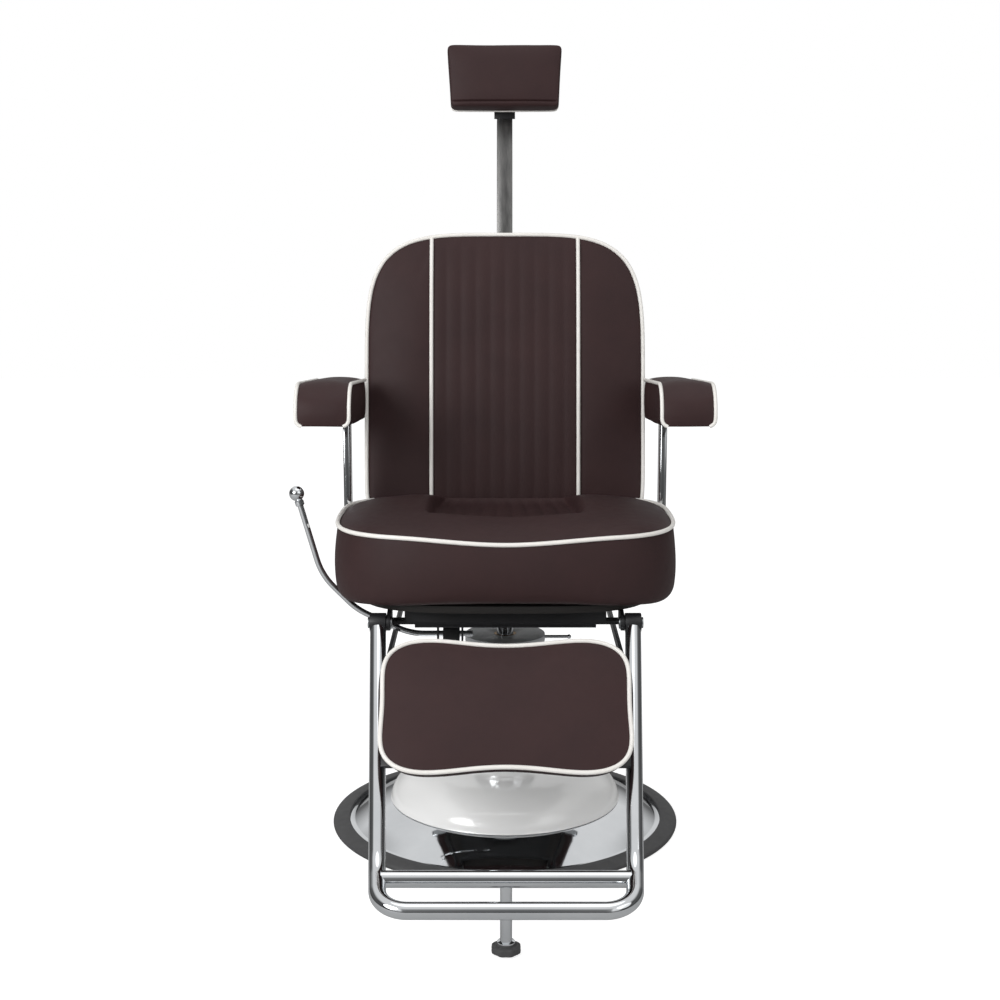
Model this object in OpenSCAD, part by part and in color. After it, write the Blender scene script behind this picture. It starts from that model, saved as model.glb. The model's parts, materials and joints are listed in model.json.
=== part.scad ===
// Hydraulic barber chair: round base and pump, swivelling seat, reclining back with a linked footrest.
// X is across the chair, -Y is towards the footrest, +Z is up; the origin is on the floor under the ram.

/* [Base] */
// Outside diameter of the rubber floor ring
ring_d = 620; // [580:5:680]
// Width of the rubber ring
ring_w = 26; // [22:1:34]
// Height of the rubber ring
ring_h = 14; // [13:1:20]
// Thickness of the steel base plate
plate_t = 8; // [6:1:10]
// Thickness of the chrome dish
dish_t = 2; // [1.5:0.5:2.5]
// Diameter of the white dome at its rim
dome_d = 410; // [390:5:430]
// Height of the dome's rim above the floor
dome_rim_z = 46; // [42:1:52]
// Height of the dome's neck above the floor
dome_top_z = 128; // [120:1:150]
// Wall of the dome
dome_t = 2.5; // [2:0.5:3]

/* [Pump] */
// Diameter of the chrome column
column_d = 116; // [112:1:122]
// Height of the pump head's top above the floor
head_top_z = 346; // [340:1:352]
// Diameter of the pump head's disc
head_d = 142; // [134:1:150]
// Thickness of the pump head's disc
head_t = 12; // [11:1:15]
// Diameter of the ram
ram_d = 30; // [26:1:32]
// Bore of the pressure cylinder
cylinder_bore = 44; // [40:1:46]
// Lift of the ram
lift = 150; // [100:5:150]
// Diameter of the pump foot casting
foot_d = 170; // [160:2:180]
// Reach of the pedal from the chair's axis
pedal_reach = 350; // [330:2:356]

/* [Frame] */
// Height of the frame's underside above the floor
frame_z = 416; // [414:1:420]
// Height of the frame's tubes
frame_h = 30; // [28:1:32]
// Outside width over the side rails
frame_w = 332; // [320:2:340]
// Width of a side rail
rail_w = 40; // [30:1:44]
// Wall of the frame's tubes
frame_wall = 3; // [2:0.5:4]
// Height of the recline and footrest pivots
pivot_z = 428; // [427:1:430]
// Distance of the recline pivot behind the axis
recline_y = 205; // [202:1:210]
// Distance of the footrest pivot in front of the axis
leg_y = 250; // [246:1:254]
// Diameter of the pivot pins
pin_d = 12; // [10:1:14]
// Length of the cranks on the linkage
crank = 70; // [68:1:74]

/* [Seat] */
// Width of the seat cushion at its seam
seat_w = 560; // [530:5:566]
// Depth of the seat cushion
seat_d = 446; // [436:2:448]
// Distance of the seat cushion's rear edge behind the axis
seat_rear_y = 149; // [146:1:150]
// Thickness of the seat board
seat_board_t = 12; // [9:1:14]
// Height of the seat cushion's side
seat_side_h = 108; // [95:1:115]
// Crown of the seat cushion above its seam
seat_crown = 13; // [8:1:18]
// Depth of the recessed centre panel
seat_recess = 9; // [5:1:12]

/* [Back] */
// Lean of the back from upright in degrees
back_lean = 11; // [9:0.5:13]
// Width of the back cushion
back_w = 516; // [500:2:524]
// Height of the back cushion along its slope
back_h = 541; // [520:1:570]
// Side depth of the back cushion
back_side = 58; // [50:1:62]
// Crown of the back cushion
back_crown = 18; // [12:1:20]
// Thickness of the back board
back_board_t = 12; // [9:1:14]
// Depth of the rear shell
shell_d = 10; // [9:1:14]

/* [Headrest] */
// Width of the flat headrest post
post_w = 30; // [24:1:32]
// Thickness of the headrest post
post_t = 8; // [6:1:10]
// Width of the headrest pad at its top
head_w = 214; // [200:2:240]
// Height of the headrest pad
head_h = 116; // [110:2:130]
// Thickness of the headrest pad at its side
head_side = 42; // [36:1:48]

/* [Arms] */
// Distance of an arm pad's middle outside the seat's seam
arm_out = 23; // [22:1:34]
// Width of an arm pad
arm_w = 91; // [82:1:94]
// Length of an arm pad
arm_l = 336; // [320:2:340]
// Height of an arm pad
arm_h = 75; // [66:1:80]
// Thickness of an arm upright
upright_t = 12; // [9:1:12]
// Width of an arm upright
upright_w = 45; // [38:1:50]

/* [Footrest] */
// Diameter of the footrest tube
tube_d = 26; // [24:1:28]
// Wall of the footrest tube
tube_wall = 1.6; // [1.2:0.2:2.4]
// Lean of the footrest's legs in degrees
leg_lean = 43; // [41:0.5:45]
// Length of the footrest's legs down to the bend
leg_run = 415; // [405:1:420]
// Length of the footrest's forward run
foot_run = 96; // [90:1:105]
// Slope of the forward run in degrees
foot_slope = 16.5; // [12:0.5:20]
// Distance of the tube's axis from the chair's middle at the pivot
leg_x = 207; // [206:0.5:209]
// Width of the leg pad
leg_pad_w = 388; // [360:2:392]
// Height of the leg pad
leg_pad_h = 232; // [212:2:236]
// Diameter of the stabiliser rod
rod_d = 18; // [14:1:20]
// Diameter of the stabiliser foot
stab_d = 46; // [40:1:56]
// Gap from the stabiliser foot to the floor
stab_gap = 3; // [2:0.5:6]

/* [Lever] */
// Diameter of the recline lever's rod
lever_d = 10; // [8:1:11]
// Diameter of the ball knob
ball_d = 25; // [22:1:30]

/* [Fit] */
// Radial clearance of a running fit
fit = 0.05; // [0.02:0.01:0.09]
// Side gap between moving pieces
gap = 1; // [0.6:0.1:1.4]

/* [Hidden] */
$fn = 64;

// Derived sizes
ring_r = ring_d / 2;
plate_r = ring_r - ring_w;
dome_r = dome_d / 2;
ring_lip = 4;
foot_z = plate_t + 14;
column_r = column_d / 2;
sleeve_t = 2;
head_z = head_top_z - head_t;
head_spigot_z = head_z - 16;
reservoir_r = column_r - 8;
reservoir_t = 3;
cylinder_r = cylinder_bore / 2 + 4;
ram_r = ram_d / 2;
gland_t = 5;
spigot_r = ram_r - 3;
washer_z = head_top_z + 26;
washer_t = 2;
hub_z = washer_z + washer_t + gap / 3;
hub_r = ram_r + 19;
plate_under_t = 8;
hub_top_z = frame_z - plate_under_t;
piston_h = 20;
piston_z = head_spigot_z - lift - piston_h - 3;
seal_t = 6;
seal_w = 3;

pedal_pivot = [78, 86];
pedal_t = 10;
pedal_w = 16;
pedal_pad_l = 56;
pedal_pin_r = 5;
plunger_y = 25;
plunger_r = 5;
barrel_y = pedal_pivot[0] + plunger_y;
barrel_r = plunger_r + 5;
rib_w = 12;
plunger_gap = 1.1;
barrel_h = 52;
bolt_r = 6;
bolt_seat = 2;
bolt_head_r = 9;
bolt_head_h = 6;
bolt_ring_r = foot_d / 2 - 11;
lock_x = 54;
lock_r = 8;
lock_t = 6;
lock_pin_r = 3;

frame_x = frame_w / 2;
frame_top_z = frame_z + frame_h;
front_y = 215;
front_bar_d = 25;
rear_bar_y = 165;
rear_bar_d = 25;
ear_t = 6;
pin_r = pin_d / 2;
head_of_pin_t = 3;
recline_ear_x = frame_x + 10;
bracket_x = recline_ear_x + ear_t + gap;
link_t = 6;
link_x = bracket_x + ear_t + gap;
link_h = 16;
leg_tube_x = leg_x - tube_d / 2;
leg_ear_x = leg_tube_x - gap - ear_t;
crank_x = link_x + link_t + gap;
crank_pin_r = 4;
strip_h = 6;

seat_board_z = frame_top_z;
seat_z = seat_board_z + seat_board_t;
seat_mid_y = seat_rear_y - seat_d / 2;
panel_half = 126;
panel_channels = 9;
panel_start = -0.12;

back_y = 235;
back_z = 500;
flat_w = 40;
flat_t = 5;
flat_h = 210;
shell_t = 2.5;
back_panel_half = 137;
back_channels = 10;
shell_out_y = back_board_t + shell_d;
post_gap = 4;
post_y = shell_out_y + post_gap;
socket_z = back_h - 110;
socket_h = 80;
socket_w = post_w + 34;
post_low_z = back_h - 220;
tilt_z = back_h + 274;
tilt_y = post_y - 14;
fork_w = 40;
fork_t = 4;
knuckle_w = 30;
tilt_pin_r = 4;
head_back_y = tilt_y - 16;
head_low = 27;
knob_z = socket_z + socket_h / 2;
clamp_r = 5;

arm_plate_t = 5;
arm_front_y = 150;
arm_mid = [seat_w / 2 + arm_out, arm_l / 2 - arm_front_y, 717];
arm_slope = 4.5;
arm_side = arm_h - 8;
upright_x = seat_w / 2 - 2;
upright_y = 70;
upright_bend = 26;

leg_mid = [0, -leg_y, pivot_z];
leg_toe = 15;
foot_toe = 7;
leg_bend = [leg_x - leg_toe, leg_y + leg_run * sin(leg_lean), pivot_z - leg_run * cos(leg_lean)];
leg_corner = leg_bend + [-foot_toe, foot_run * cos(foot_slope), -foot_run * sin(foot_slope)];
bend_radii = [0, 90, 46, 0];
leg_ref = [0, -0.3, 0.95];
joint_x = 125;
cross_at = 0.27;
leg_board_t = 10;
leg_pad_top = 56;
leg_board_y = tube_d / 2;
strip_t = 8;
strip_w = 30;
stab_h = 15;
link_play = 0.08;
boss_r = 16;

lever_y = 150;
lever_z = 384;
lever_points = [[-55, 0, 0], [-160, 0, 0], [30 - seat_w / 2, 0, 42], [-28 - seat_w / 2, 0, 101], [-64 - seat_w / 2, 0, 228]];
lever_radii = [0, 110, 110, 110, 0];
lever_plate_x = [-115, -74];
lever_plate_t = 3;

// Vector helpers
function unit(v) = v / norm(v);
function turn_at(a, b, c) = acos(unit(b - a) * unit(c - b));
function arc(cx, cy, rx, ry, a0, a1, n = 12) =
  [for (i = [0 : n]) let (a = a0 + (a1 - a0) * i / n) [cx + rx * cos(a), cy + ry * sin(a)]];
function spread(lo, hi, n) = [for (i = [0 : n]) lo + (hi - lo) * i / n];

// Places children with their Z along one direction and their X along another
module oriented(at, x, z) {
  y = cross(z, x);
  multmatrix([[x[0], y[0], z[0], at[0]], [x[1], y[1], z[1], at[1]], [x[2], y[2], z[2], at[2]], [0, 0, 0, 1]])
    children();
}

module section(d, wall) {
  difference() {
    circle(d = d, $fn = 48);
    if (wall > 0) circle(d = d - 2 * wall, $fn = 48);
  }
}

module straight_tube(a, b, d, wall) {
  z = unit(b - a);
  side = abs(z[0]) < 0.9 ? [1, 0, 0] : [0, 1, 0];
  x = unit(cross(side, z));
  oriented(a, x, z) linear_extrude(norm(b - a)) section(d, wall);
}

// Points and directions round one bend of radius r at b, in m steps
function bend(a, b, c, r, m) =
  let (u = unit(b - a), v = unit(c - b), turn = turn_at(a, b, c), w = unit(v - (v * u) * u),
    centre = b - u * r * tan(turn / 2) + w * r)
  [for (k = [0 : m]) let (t = turn * k / m) [centre - w * r * cos(t) + u * r * sin(t), u * cos(t) + w * sin(t)]];

function bent_path(pts, r) = let (n = len(pts)) concat([[pts[0], unit(pts[1] - pts[0])]],
  [for (i = [1 : n - 2]) each bend(pts[i - 1], pts[i], pts[i + 1], r[i],
    max(2, round(turn_at(pts[i - 1], pts[i], pts[i + 1]) / 10)))],
  [[pts[n - 1], unit(pts[n - 1] - pts[n - 2])]]);

function sweep_ring(at, along, ref, r, n) = let (x = unit(cross(along, ref)), y = cross(along, x))
  [for (j = [0 : n - 1]) at + r * (cos(360 * j / n) * x + sin(360 * j / n) * y)];

// Tube or rod along corner points, bent to the radii in r; ref is a direction the path never follows
module bent_tube(pts, d, r, ref, wall = 0, n = 20) {
  path = bent_path(pts, r);
  k = len(path);
  outer = [for (s = path) each sweep_ring(s[0], s[1], ref, d / 2, n)];
  inner = wall == 0 ? [] : [for (s = path) each sweep_ring(s[0], s[1], ref, d / 2 - wall, n)];
  o = k * n;
  e = (k - 1) * n;
  skin = [for (i = [0 : k - 2]) for (j = [0 : n - 1]) let (a = i * n + j, b = i * n + (j + 1) % n)
    each [[a, a + n, b + n], [a, b + n, b]]];
  ends = wall == 0 ? [[for (j = [0 : n - 1]) j], [for (j = [n - 1 : -1 : 0]) e + j]] :
    [for (j = [0 : n - 1]) let (j1 = (j + 1) % n)
      each [[j, j1, o + j1], [j, o + j1, o + j], [e + j1, e + j, o + e + j], [e + j1, o + e + j, o + e + j1]]];
  lining = wall == 0 ? [] : [for (f = skin) [o + f[0], o + f[2], o + f[1]]];
  polyhedron(concat(outer, inner), concat(skin, lining, ends));
}

// Cylinder along X from x0 to x1
module x_rod(x0, x1, y, z, r) {
  translate([x0, y, z]) rotate([0, 90, 0]) cylinder(h = x1 - x0, r = r);
}

// Flat outline with rounded ends between two points
function capsule(p, q, r0, r1, n = 10) =
  let (a = atan2(q[1] - p[1], q[0] - p[0]))
  concat(arc(p[0], p[1], r0, r0, a + 90, a + 270, n), arc(q[0], q[1], r1, r1, a - 90, a + 90, n));

// Plate standing in the YZ plane, from x0 over a thickness
module yz_plate(x0, t, outline) {
  translate([x0, 0, 0]) rotate([90, 0, 90]) linear_extrude(t) polygon(outline);
}

module both_sides() {
  children();
  mirror([1, 0, 0]) children();
}

module on_back() {
  translate([0, back_y, back_z]) rotate([-back_lean, 0, 0]) children();
}

module on_leg() {
  translate(leg_mid) rotate([-leg_lean, 0, 0]) children();
}

module on_arm() {
  translate(arm_mid) rotate([-arm_slope, 0, 0]) children();
}

// Square grid point mapped into a rounded outline of half sizes hx, hy; n is the corner's squareness
function rounded(u, v, hx, hy, n) =
  [u * hx * pow(1 - pow(abs(v), n) / 2, 1 / n), v * hy * pow(1 - pow(abs(u), n) / 2, 1 / n)];

// Closed cushion: crowned grid on top, bulging side rings [bulge, height] and a flat underside
module cushion(us, vs, half, outline, crown, rings) {
  nu = len(us);
  nv = len(vs);
  top = [for (v = vs) for (u = us) let (p = outline(u, v)) [p[0], p[1], crown(u, v)]];
  rim = concat([for (i = [0 : nu - 2]) i], [for (j = [0 : nv - 2]) j * nu + nu - 1],
    [for (i = [nu - 1 : -1 : 1]) (nv - 1) * nu + i], [for (j = [nv - 1 : -1 : 1]) j * nu]);
  n = len(rim);
  sides = [for (r = rings) for (k = rim) [top[k][0] * (1 + r[0] / half[0]), top[k][1] * (1 + r[0] / half[1]), r[1]]];
  base = nu * nv;
  last = base + (len(rings) - 1) * n;
  top_faces = [for (j = [0 : nv - 2]) for (i = [0 : nu - 2]) let (a = j * nu + i)
    each [[a, a + nu, a + nu + 1], [a, a + nu + 1, a + 1]]];
  side_faces = [for (r = [0 : len(rings) - 1]) for (k = [0 : n - 1])
    let (k1 = (k + 1) % n, a = r == 0 ? rim[k] : base + (r - 1) * n + k, b = r == 0 ? rim[k1] : base + (r - 1) * n + k1)
    each [[a, b, base + r * n + k1], [a, base + r * n + k1, base + r * n + k]]];
  polyhedron(concat(top, sides), concat(top_faces, side_faces, [[for (k = [0 : n - 1]) last + k]]));
}

// Channel depth across a sewn panel: 0 on a crown and 1 at a stitch line
function channel(x, half, count) = abs(x) > half ? 0 : 1 - abs(sin(90 * (x + half) * count / half));
function panel_grid(half, count, panel) = concat(
  [for (i = [0 : 4]) -1 + (1 - panel / half) * sin(18 * i)],
  [for (i = [0 : 2 * count]) panel / half * (i / count - 1)],
  [for (i = [4 : -1 : 0]) 1 - (1 - panel / half) * sin(18 * i)]);

module base_plate() {
  color("#3a3a3c") difference() {
    cylinder(h = plate_t, r = plate_r, $fn = 128);
    for (a = [45 : 90 : 315]) rotate(a) translate([bolt_ring_r, 0, bolt_seat]) cylinder(h = plate_t, r = bolt_r);
  }
}

module base_ring() {
  lip_z = plate_t + dish_t;
  color("#151515") rotate_extrude($fn = 128) polygon(concat(
    [[plate_r, 0], [ring_r - 5, 0]], arc(ring_r - 5, 5, 5, 5, -90, 60, 8),
    [[plate_r + 6, ring_h], [plate_r - ring_lip, ring_h], [plate_r - ring_lip, lip_z], [plate_r, lip_z]]));
}

// Height of the dish's top over the plate at a radius
function dish_z(r) = let (t = min(1, max(0, (plate_r - r - 12) / (plate_r - 12 - dome_r))))
  plate_t + dish_t + (dome_rim_z - plate_t - dish_t) * (t + 0.09 * sin(180 * t));

module base_dish() {
  radii = concat([plate_r], spread(plate_r - 12, dome_r, 24), [dome_r - 30]);
  color("#d8dadc") rotate_extrude($fn = 128) polygon(concat(
    [for (r = radii) [r, dish_z(r)]], [for (i = [len(radii) - 1 : -1 : 0]) [radii[i], dish_z(radii[i]) - dish_t]]));
}

function dome_line(off) = let (r0 = column_r + 42, r1 = column_r + dome_t + fit, shelf = dome_top_z - 20) concat(
  arc(r0, dome_rim_z, dome_r - r0 - off, shelf - dome_rim_z - off, 0, 90, 24),
  [for (i = [1 : 8]) let (b = i * 90 / 8)
    [r0 - (r0 - r1 + off) * sin(b), dome_top_z - (dome_top_z - shelf) * cos(b) - off * cos(b)]]);

module dome_cover() {
  inner = dome_line(dome_t);
  color("#f2f2f0") difference() {
    rotate_extrude($fn = 128) polygon(concat(dome_line(0), [for (i = [len(inner) - 1 : -1 : 0]) inner[i]]));
    translate([-pedal_w, pedal_pivot[0] + 60, dome_rim_z + 5]) cube([2 * pedal_w, dome_r, 46]);
  }
}

// Pump foot casting with the plunger barrel behind it
module pump_foot() {
  color("#2b2b2d") difference() {
    union() {
      translate([0, 0, plate_t]) cylinder(h = foot_z - plate_t, d = foot_d);
      translate([0, barrel_y, plate_t]) cylinder(h = barrel_h, r = barrel_r);
      translate([-rib_w / 2, foot_d / 2 - 2, plate_t]) cube([rib_w, barrel_y - foot_d / 2, foot_z - plate_t]);
    }
    for (a = [45 : 90 : 315]) rotate(a) translate([bolt_ring_r, 0, 0]) cylinder(h = foot_z + 1, r = bolt_r);
    translate([0, barrel_y, plate_t + 3]) cylinder(h = barrel_h, r = plunger_r + fit);
  }
}

module pump_bolts() {
  color("#8a8c8e") for (a = [45 : 90 : 315]) rotate(a) translate([bolt_ring_r, 0, 0]) {
    translate([0, 0, bolt_seat]) cylinder(h = foot_z - bolt_seat, r = bolt_r);
    translate([0, 0, foot_z]) cylinder(h = bolt_head_h, r = bolt_head_r, $fn = 6);
  }
}

module sleeve(r, t, z0, z1) {
  translate([0, 0, z0]) difference() {
    cylinder(h = z1 - z0, r = r);
    translate([0, 0, -1]) cylinder(h = z1 - z0 + 2, r = r - t);
  }
}

module reservoir_tube() { color("#4a4b4d") sleeve(reservoir_r, reservoir_t, foot_z, head_spigot_z); }
module cylinder_tube() { color("#b8babc") sleeve(cylinder_r, 4, foot_z, head_spigot_z); }
module column_sleeve() { color("#d8dadc") sleeve(column_r, sleeve_t, dome_top_z - 18, head_z); }
module gland_bush() { color("#b08d3a") sleeve(ram_r + gland_t, gland_t - fit, head_spigot_z, head_top_z); }

module pump_head() {
  color("#9b9da0") difference() {
    union() {
      translate([0, 0, head_z]) cylinder(h = head_t, d = head_d);
      translate([0, 0, head_spigot_z]) cylinder(h = head_z - head_spigot_z, r = column_r - sleeve_t - gap);
    }
    translate([0, 0, head_spigot_z - 1]) cylinder(h = head_top_z, r = ram_r + gland_t);
    translate([lock_x - lock_r - gap, -14, head_z + 2]) cube([head_d, 28, lock_t + 2 * 0.5]);
    translate([lock_x, 0, head_z - 1]) cylinder(h = head_t, r = lock_pin_r);
  }
}

module lock_lever() {
  z = head_z + 2.5;
  color("#d8dadc") difference() {
    union() {
      translate([lock_x, 0, z]) cylinder(h = lock_t, r = lock_r);
      x_rod(lock_x, lock_x + 60, 0, z + lock_t / 2, lock_t / 2);
      translate([lock_x + 60, 0, z + lock_t / 2]) sphere(r = lock_t / 2 + 1);
    }
    translate([lock_x, 0, z - 1]) cylinder(h = lock_t + 2, r = lock_pin_r + fit);
  }
}

// Pivot pins of the lock lever and the pedal
module base_pins() {
  reach = pedal_w / 2 + gap + 7;
  color("#8a8c8e") {
    translate([lock_x, 0, head_z]) cylinder(h = head_t - 1, r = lock_pin_r);
    x_rod(-reach, reach, pedal_pivot[0], pedal_pivot[1], pedal_pin_r);
  }
}

module pedal_bracket() {
  y = pedal_pivot[0];
  z = pedal_pivot[1];
  color("#2b2b2d") difference() {
    both_sides() translate([pedal_w / 2 + gap, y - 10, foot_z]) cube([5, 16, z + 9 - foot_z]);
    x_rod(-pedal_w, pedal_w, y, z, pedal_pin_r);
  }
}

module pedal_arm() {
  y = pedal_pivot[0];
  z = pedal_pivot[1];
  color("#2b2b2d") difference() {
    union() {
      x_rod(-pedal_w / 2, pedal_w / 2, y, z, pedal_pin_r + 4);
      translate([-pedal_w / 2, y, z - pedal_t / 2]) cube([pedal_w, pedal_reach - y - 4, pedal_t]);
      translate([-pedal_pad_l / 2, pedal_reach - pedal_pad_l, z + pedal_t / 2 - 4]) cube([pedal_pad_l, pedal_pad_l, 4]);
    }
    x_rod(-pedal_w, pedal_w, y, z, pedal_pin_r + fit);
  }
}

module pedal_pad() {
  color("#151515") translate([-pedal_pad_l / 2, pedal_reach - pedal_pad_l, pedal_pivot[1] + pedal_t / 2])
    cube([pedal_pad_l, pedal_pad_l, 5]);
}

module pump_plunger() {
  top = pedal_pivot[1] - pedal_t / 2 - plunger_gap;
  color("#b8babc") translate([0, barrel_y, 0]) {
    translate([0, 0, 30]) cylinder(h = top - 32, r = plunger_r);
    translate([0, 0, top - 2]) cylinder(h = 2, r1 = plunger_r, r2 = plunger_r - 2);
  }
}

// Ram with its spigot for the swivel hub
module ram() {
  color("#d8dadc") {
    translate([0, 0, piston_z]) cylinder(h = washer_z - piston_z, r = ram_r);
    translate([0, 0, washer_z - 1]) cylinder(h = hub_top_z - 3 - washer_z, r = spigot_r);
  }
}

module ram_piston() {
  groove_z = piston_z + piston_h / 2 - seal_t / 2;
  color("#8a8c8e") difference() {
    sleeve(cylinder_bore / 2 - fit, cylinder_bore / 2 - fit - ram_r, piston_z, piston_z + piston_h);
    sleeve(cylinder_bore, cylinder_bore / 2 + seal_w, groove_z, groove_z + seal_t);
  }
}

module piston_seal() {
  groove_z = piston_z + piston_h / 2 - seal_t / 2;
  color("#151515") sleeve(cylinder_bore / 2 - fit, seal_w - fit, groove_z, groove_z + seal_t);
}

module thrust_washer() { color("#b08d3a") sleeve(ram_r + 6, ram_r + 6 - spigot_r - fit, washer_z, washer_z + washer_t); }
module swivel_hub() { color("#1c1c1e") sleeve(hub_r, hub_r - spigot_r - fit, hub_z, hub_top_z); }

// Plate under the rails, with two lugs that carry the recline lever
module frame_plate() {
  color("#1c1c1e") difference() {
    union() {
      translate([16 - frame_x, 10 - front_y, hub_top_z]) cube([frame_w - 32, front_y + 140, plate_under_t]);
      for (x = lever_plate_x) translate([x, -lever_y - 15, lever_z - 13])
        cube([lever_plate_t, 30, hub_top_z - lever_z + 14]);
    }
    x_rod(lever_plate_x[0] - 1, lever_plate_x[1] + 5, -lever_y, lever_z, lever_d / 2 + fit);
  }
}

module box_tube(size, wall, along_y = true) {
  inner = along_y ? [size[0] - 2 * wall, size[1] + 2, size[2] - 2 * wall]
    : [size[0] + 2, size[1] - 2 * wall, size[2] - 2 * wall];
  difference() {
    cube(size);
    translate(along_y ? [wall, -1, wall] : [-1, wall, wall]) cube(inner);
  }
}

module frame_rails() {
  length = front_y - front_bar_d + rear_bar_y;
  color("#1c1c1e") both_sides() translate([frame_x - rail_w, front_bar_d - front_y, frame_z])
    box_tube([rail_w, length, frame_h], frame_wall);
}

module frame_front_bar() {
  reach = leg_ear_x + ear_t;
  color("#1c1c1e") difference() {
    union() {
      translate([-frame_x, -front_y, frame_z]) box_tube([frame_w, front_bar_d, frame_h], frame_wall, false);
      both_sides() {
        translate([frame_x - 1, -front_y, frame_top_z - strip_h]) cube([reach - frame_x + 1, front_bar_d, strip_h]);
        translate([frame_x - 1, -front_y, frame_z]) cube([reach - frame_x + 1, front_bar_d, strip_h]);
        yz_plate(leg_ear_x, ear_t, concat(
          arc(-leg_y, pivot_z, pin_r + 7, pin_r + 7, 90, 270, 10),
          [[front_bar_d - front_y, frame_z], [front_bar_d - front_y, frame_top_z], [-front_y, frame_top_z]]));
      }
    }
    both_sides() x_rod(leg_ear_x - 1, leg_ear_x + ear_t + 1, -leg_y, pivot_z, pin_r);
  }
}

module frame_rear_bar() {
  color("#1c1c1e") translate([-recline_ear_x, rear_bar_y, frame_z])
    box_tube([2 * recline_ear_x, rear_bar_d, frame_h], frame_wall, false);
}

module recline_ears() {
  color("#1c1c1e") difference() {
    both_sides() yz_plate(recline_ear_x, ear_t, concat(
      [[rear_bar_y, frame_z], [recline_y, pivot_z - pin_r - 8]],
      arc(recline_y, pivot_z, pin_r + 8, pin_r + 8, -80, 90, 12), [[rear_bar_y, frame_top_z]]));
    both_sides() x_rod(recline_ear_x - 1, recline_ear_x + ear_t + 1, recline_y, pivot_z, pin_r);
  }
}

// Four pivot bolts, each with a head against its frame ear and a low cap outside
module pivot_pins() {
  color("#8a8c8e") both_sides() {
    x_rod(recline_ear_x - head_of_pin_t, bracket_x + ear_t + gap / 2, recline_y, pivot_z, pin_r);
    x_rod(recline_ear_x - head_of_pin_t, recline_ear_x, recline_y, pivot_z, pin_r + 4);
    x_rod(leg_ear_x - head_of_pin_t, leg_x + tube_d / 2 + gap / 2 + 2, -leg_y, pivot_z, pin_r);
    x_rod(leg_ear_x - head_of_pin_t, leg_ear_x, -leg_y, pivot_z, pin_r + 4);
    x_rod(leg_x + tube_d / 2 + gap / 2, leg_x + tube_d / 2 + gap / 2 + 3, -leg_y, pivot_z, pin_r + 3);
  }
}

module seat_board() {
  us = spread(-1, 1, 24);
  edge = concat([for (u = us) [u, -1]], [for (v = us) [1, v]], [for (u = us) [-u, 1]], [for (v = us) [-1, -v]]);
  color("#221f1e") translate([0, seat_mid_y, seat_board_z]) linear_extrude(seat_board_t)
    polygon([for (e = edge) seat_outline(e[0], e[1], seat_w / 2 - 38, seat_d / 2 - 34)]);
}

// Seat outline: a bowed front and a squarer rear
function seat_outline(u, v, hx, hy) = rounded(u, v, hx, hy, v < 0 ? 3.5 : 4.2);

// Height of the seat's top: a bolster round three sides of a recessed, channelled panel
function seat_top(u, v) =
  let (edge = max(abs(u), abs(v)), x = u * seat_w / 2, rise = seat_crown * (1 - pow(edge, 6)),
    panel = abs(x) <= panel_half + 1 && v > panel_start ? min(1, (v - panel_start) * 6) : 0)
  seat_side_h + rise
    - panel * (seat_recess * (1 - pow(edge, 8)) + 3 * channel(x, panel_half, panel_channels) * (1 - pow(edge, 6)));

module seat_cushion() {
  half = [seat_w / 2, seat_d / 2];
  side = [for (h = [0.8, 0.5, 0.2, 0.06, 0]) [8 * sin(180 * pow(h, 0.8)) - 6 * (1 - h) * (1 - h) - (h == 0 ? 8 : 0),
    seat_side_h * h]];
  color("#463a39") translate([0, seat_mid_y, seat_z])
    cushion(panel_grid(half[0], panel_channels, panel_half), spread(-1, 1, 14), half,
      function(u, v) seat_outline(u, v, half[0], half[1]),
      function(u, v) seat_top(u, v), side);
}

module arm_uprights() {
  foot_top = seat_board_z;
  x0 = frame_x;
  x1 = upright_x + upright_t;
  r = upright_bend;
  color("#d8dadc") difference() {
    both_sides() translate([0, upright_y + upright_w, 0]) rotate([90, 0, 0]) linear_extrude(upright_w)
      polygon(concat([[x0, foot_top - upright_t]],
        arc(x1 - r, foot_top - upright_t + r, r, r, -90, 0), [[x1, arm_mid[2] + 20], [upright_x, arm_mid[2] + 20]],
        arc(x1 - r, foot_top - upright_t + r, r - upright_t, r - upright_t, 0, -90), [[x0, foot_top]]));
    both_sides() on_arm() translate([-arm_w, -arm_l, 0]) cube([2 * arm_w, 2 * arm_l, 90]);
  }
}

module arm_plates() {
  color("#1c1c1e") both_sides() on_arm() translate([-arm_w / 2 + 14, -arm_l / 2 + 120, 0])
    cube([arm_w - 28, arm_l - 146, arm_plate_t]);
}

// Arm pad with a crowned top and a rounded front
module arm_pad_right() {
  half = [arm_w / 2, arm_l / 2];
  color("#463a39") on_arm() translate([0, 0, arm_plate_t])
    cushion(spread(-1, 1, 8), concat(spread(-1, -0.8, 3), spread(-0.7, 0.9, 6), [1]), half,
      function(u, v) rounded(u, v, half[0] - 2, half[1], 7),
      function(u, v) arm_side + 8 * (1 - pow(abs(u), 3)) * (1 - pow(abs(v), 10)) - 7 * pow(max(0, -v), 8),
      [for (h = [0.85, 0.5, 0.15, 0]) [3 * sin(180 * h) - (h == 0 ? 5 : 0), (arm_side - 8) * h]]);
}

module arm_pad_left() { mirror([1, 0, 0]) arm_pad_right(); }

function lever_at(i) = lever_points[i] + [0, -lever_y, lever_z];

module lever_rod() {
  color("#d8dadc") bent_tube([for (i = [0 : len(lever_points) - 1]) lever_at(i)], lever_d, lever_radii, [0, 1, 0]);
}

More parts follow.
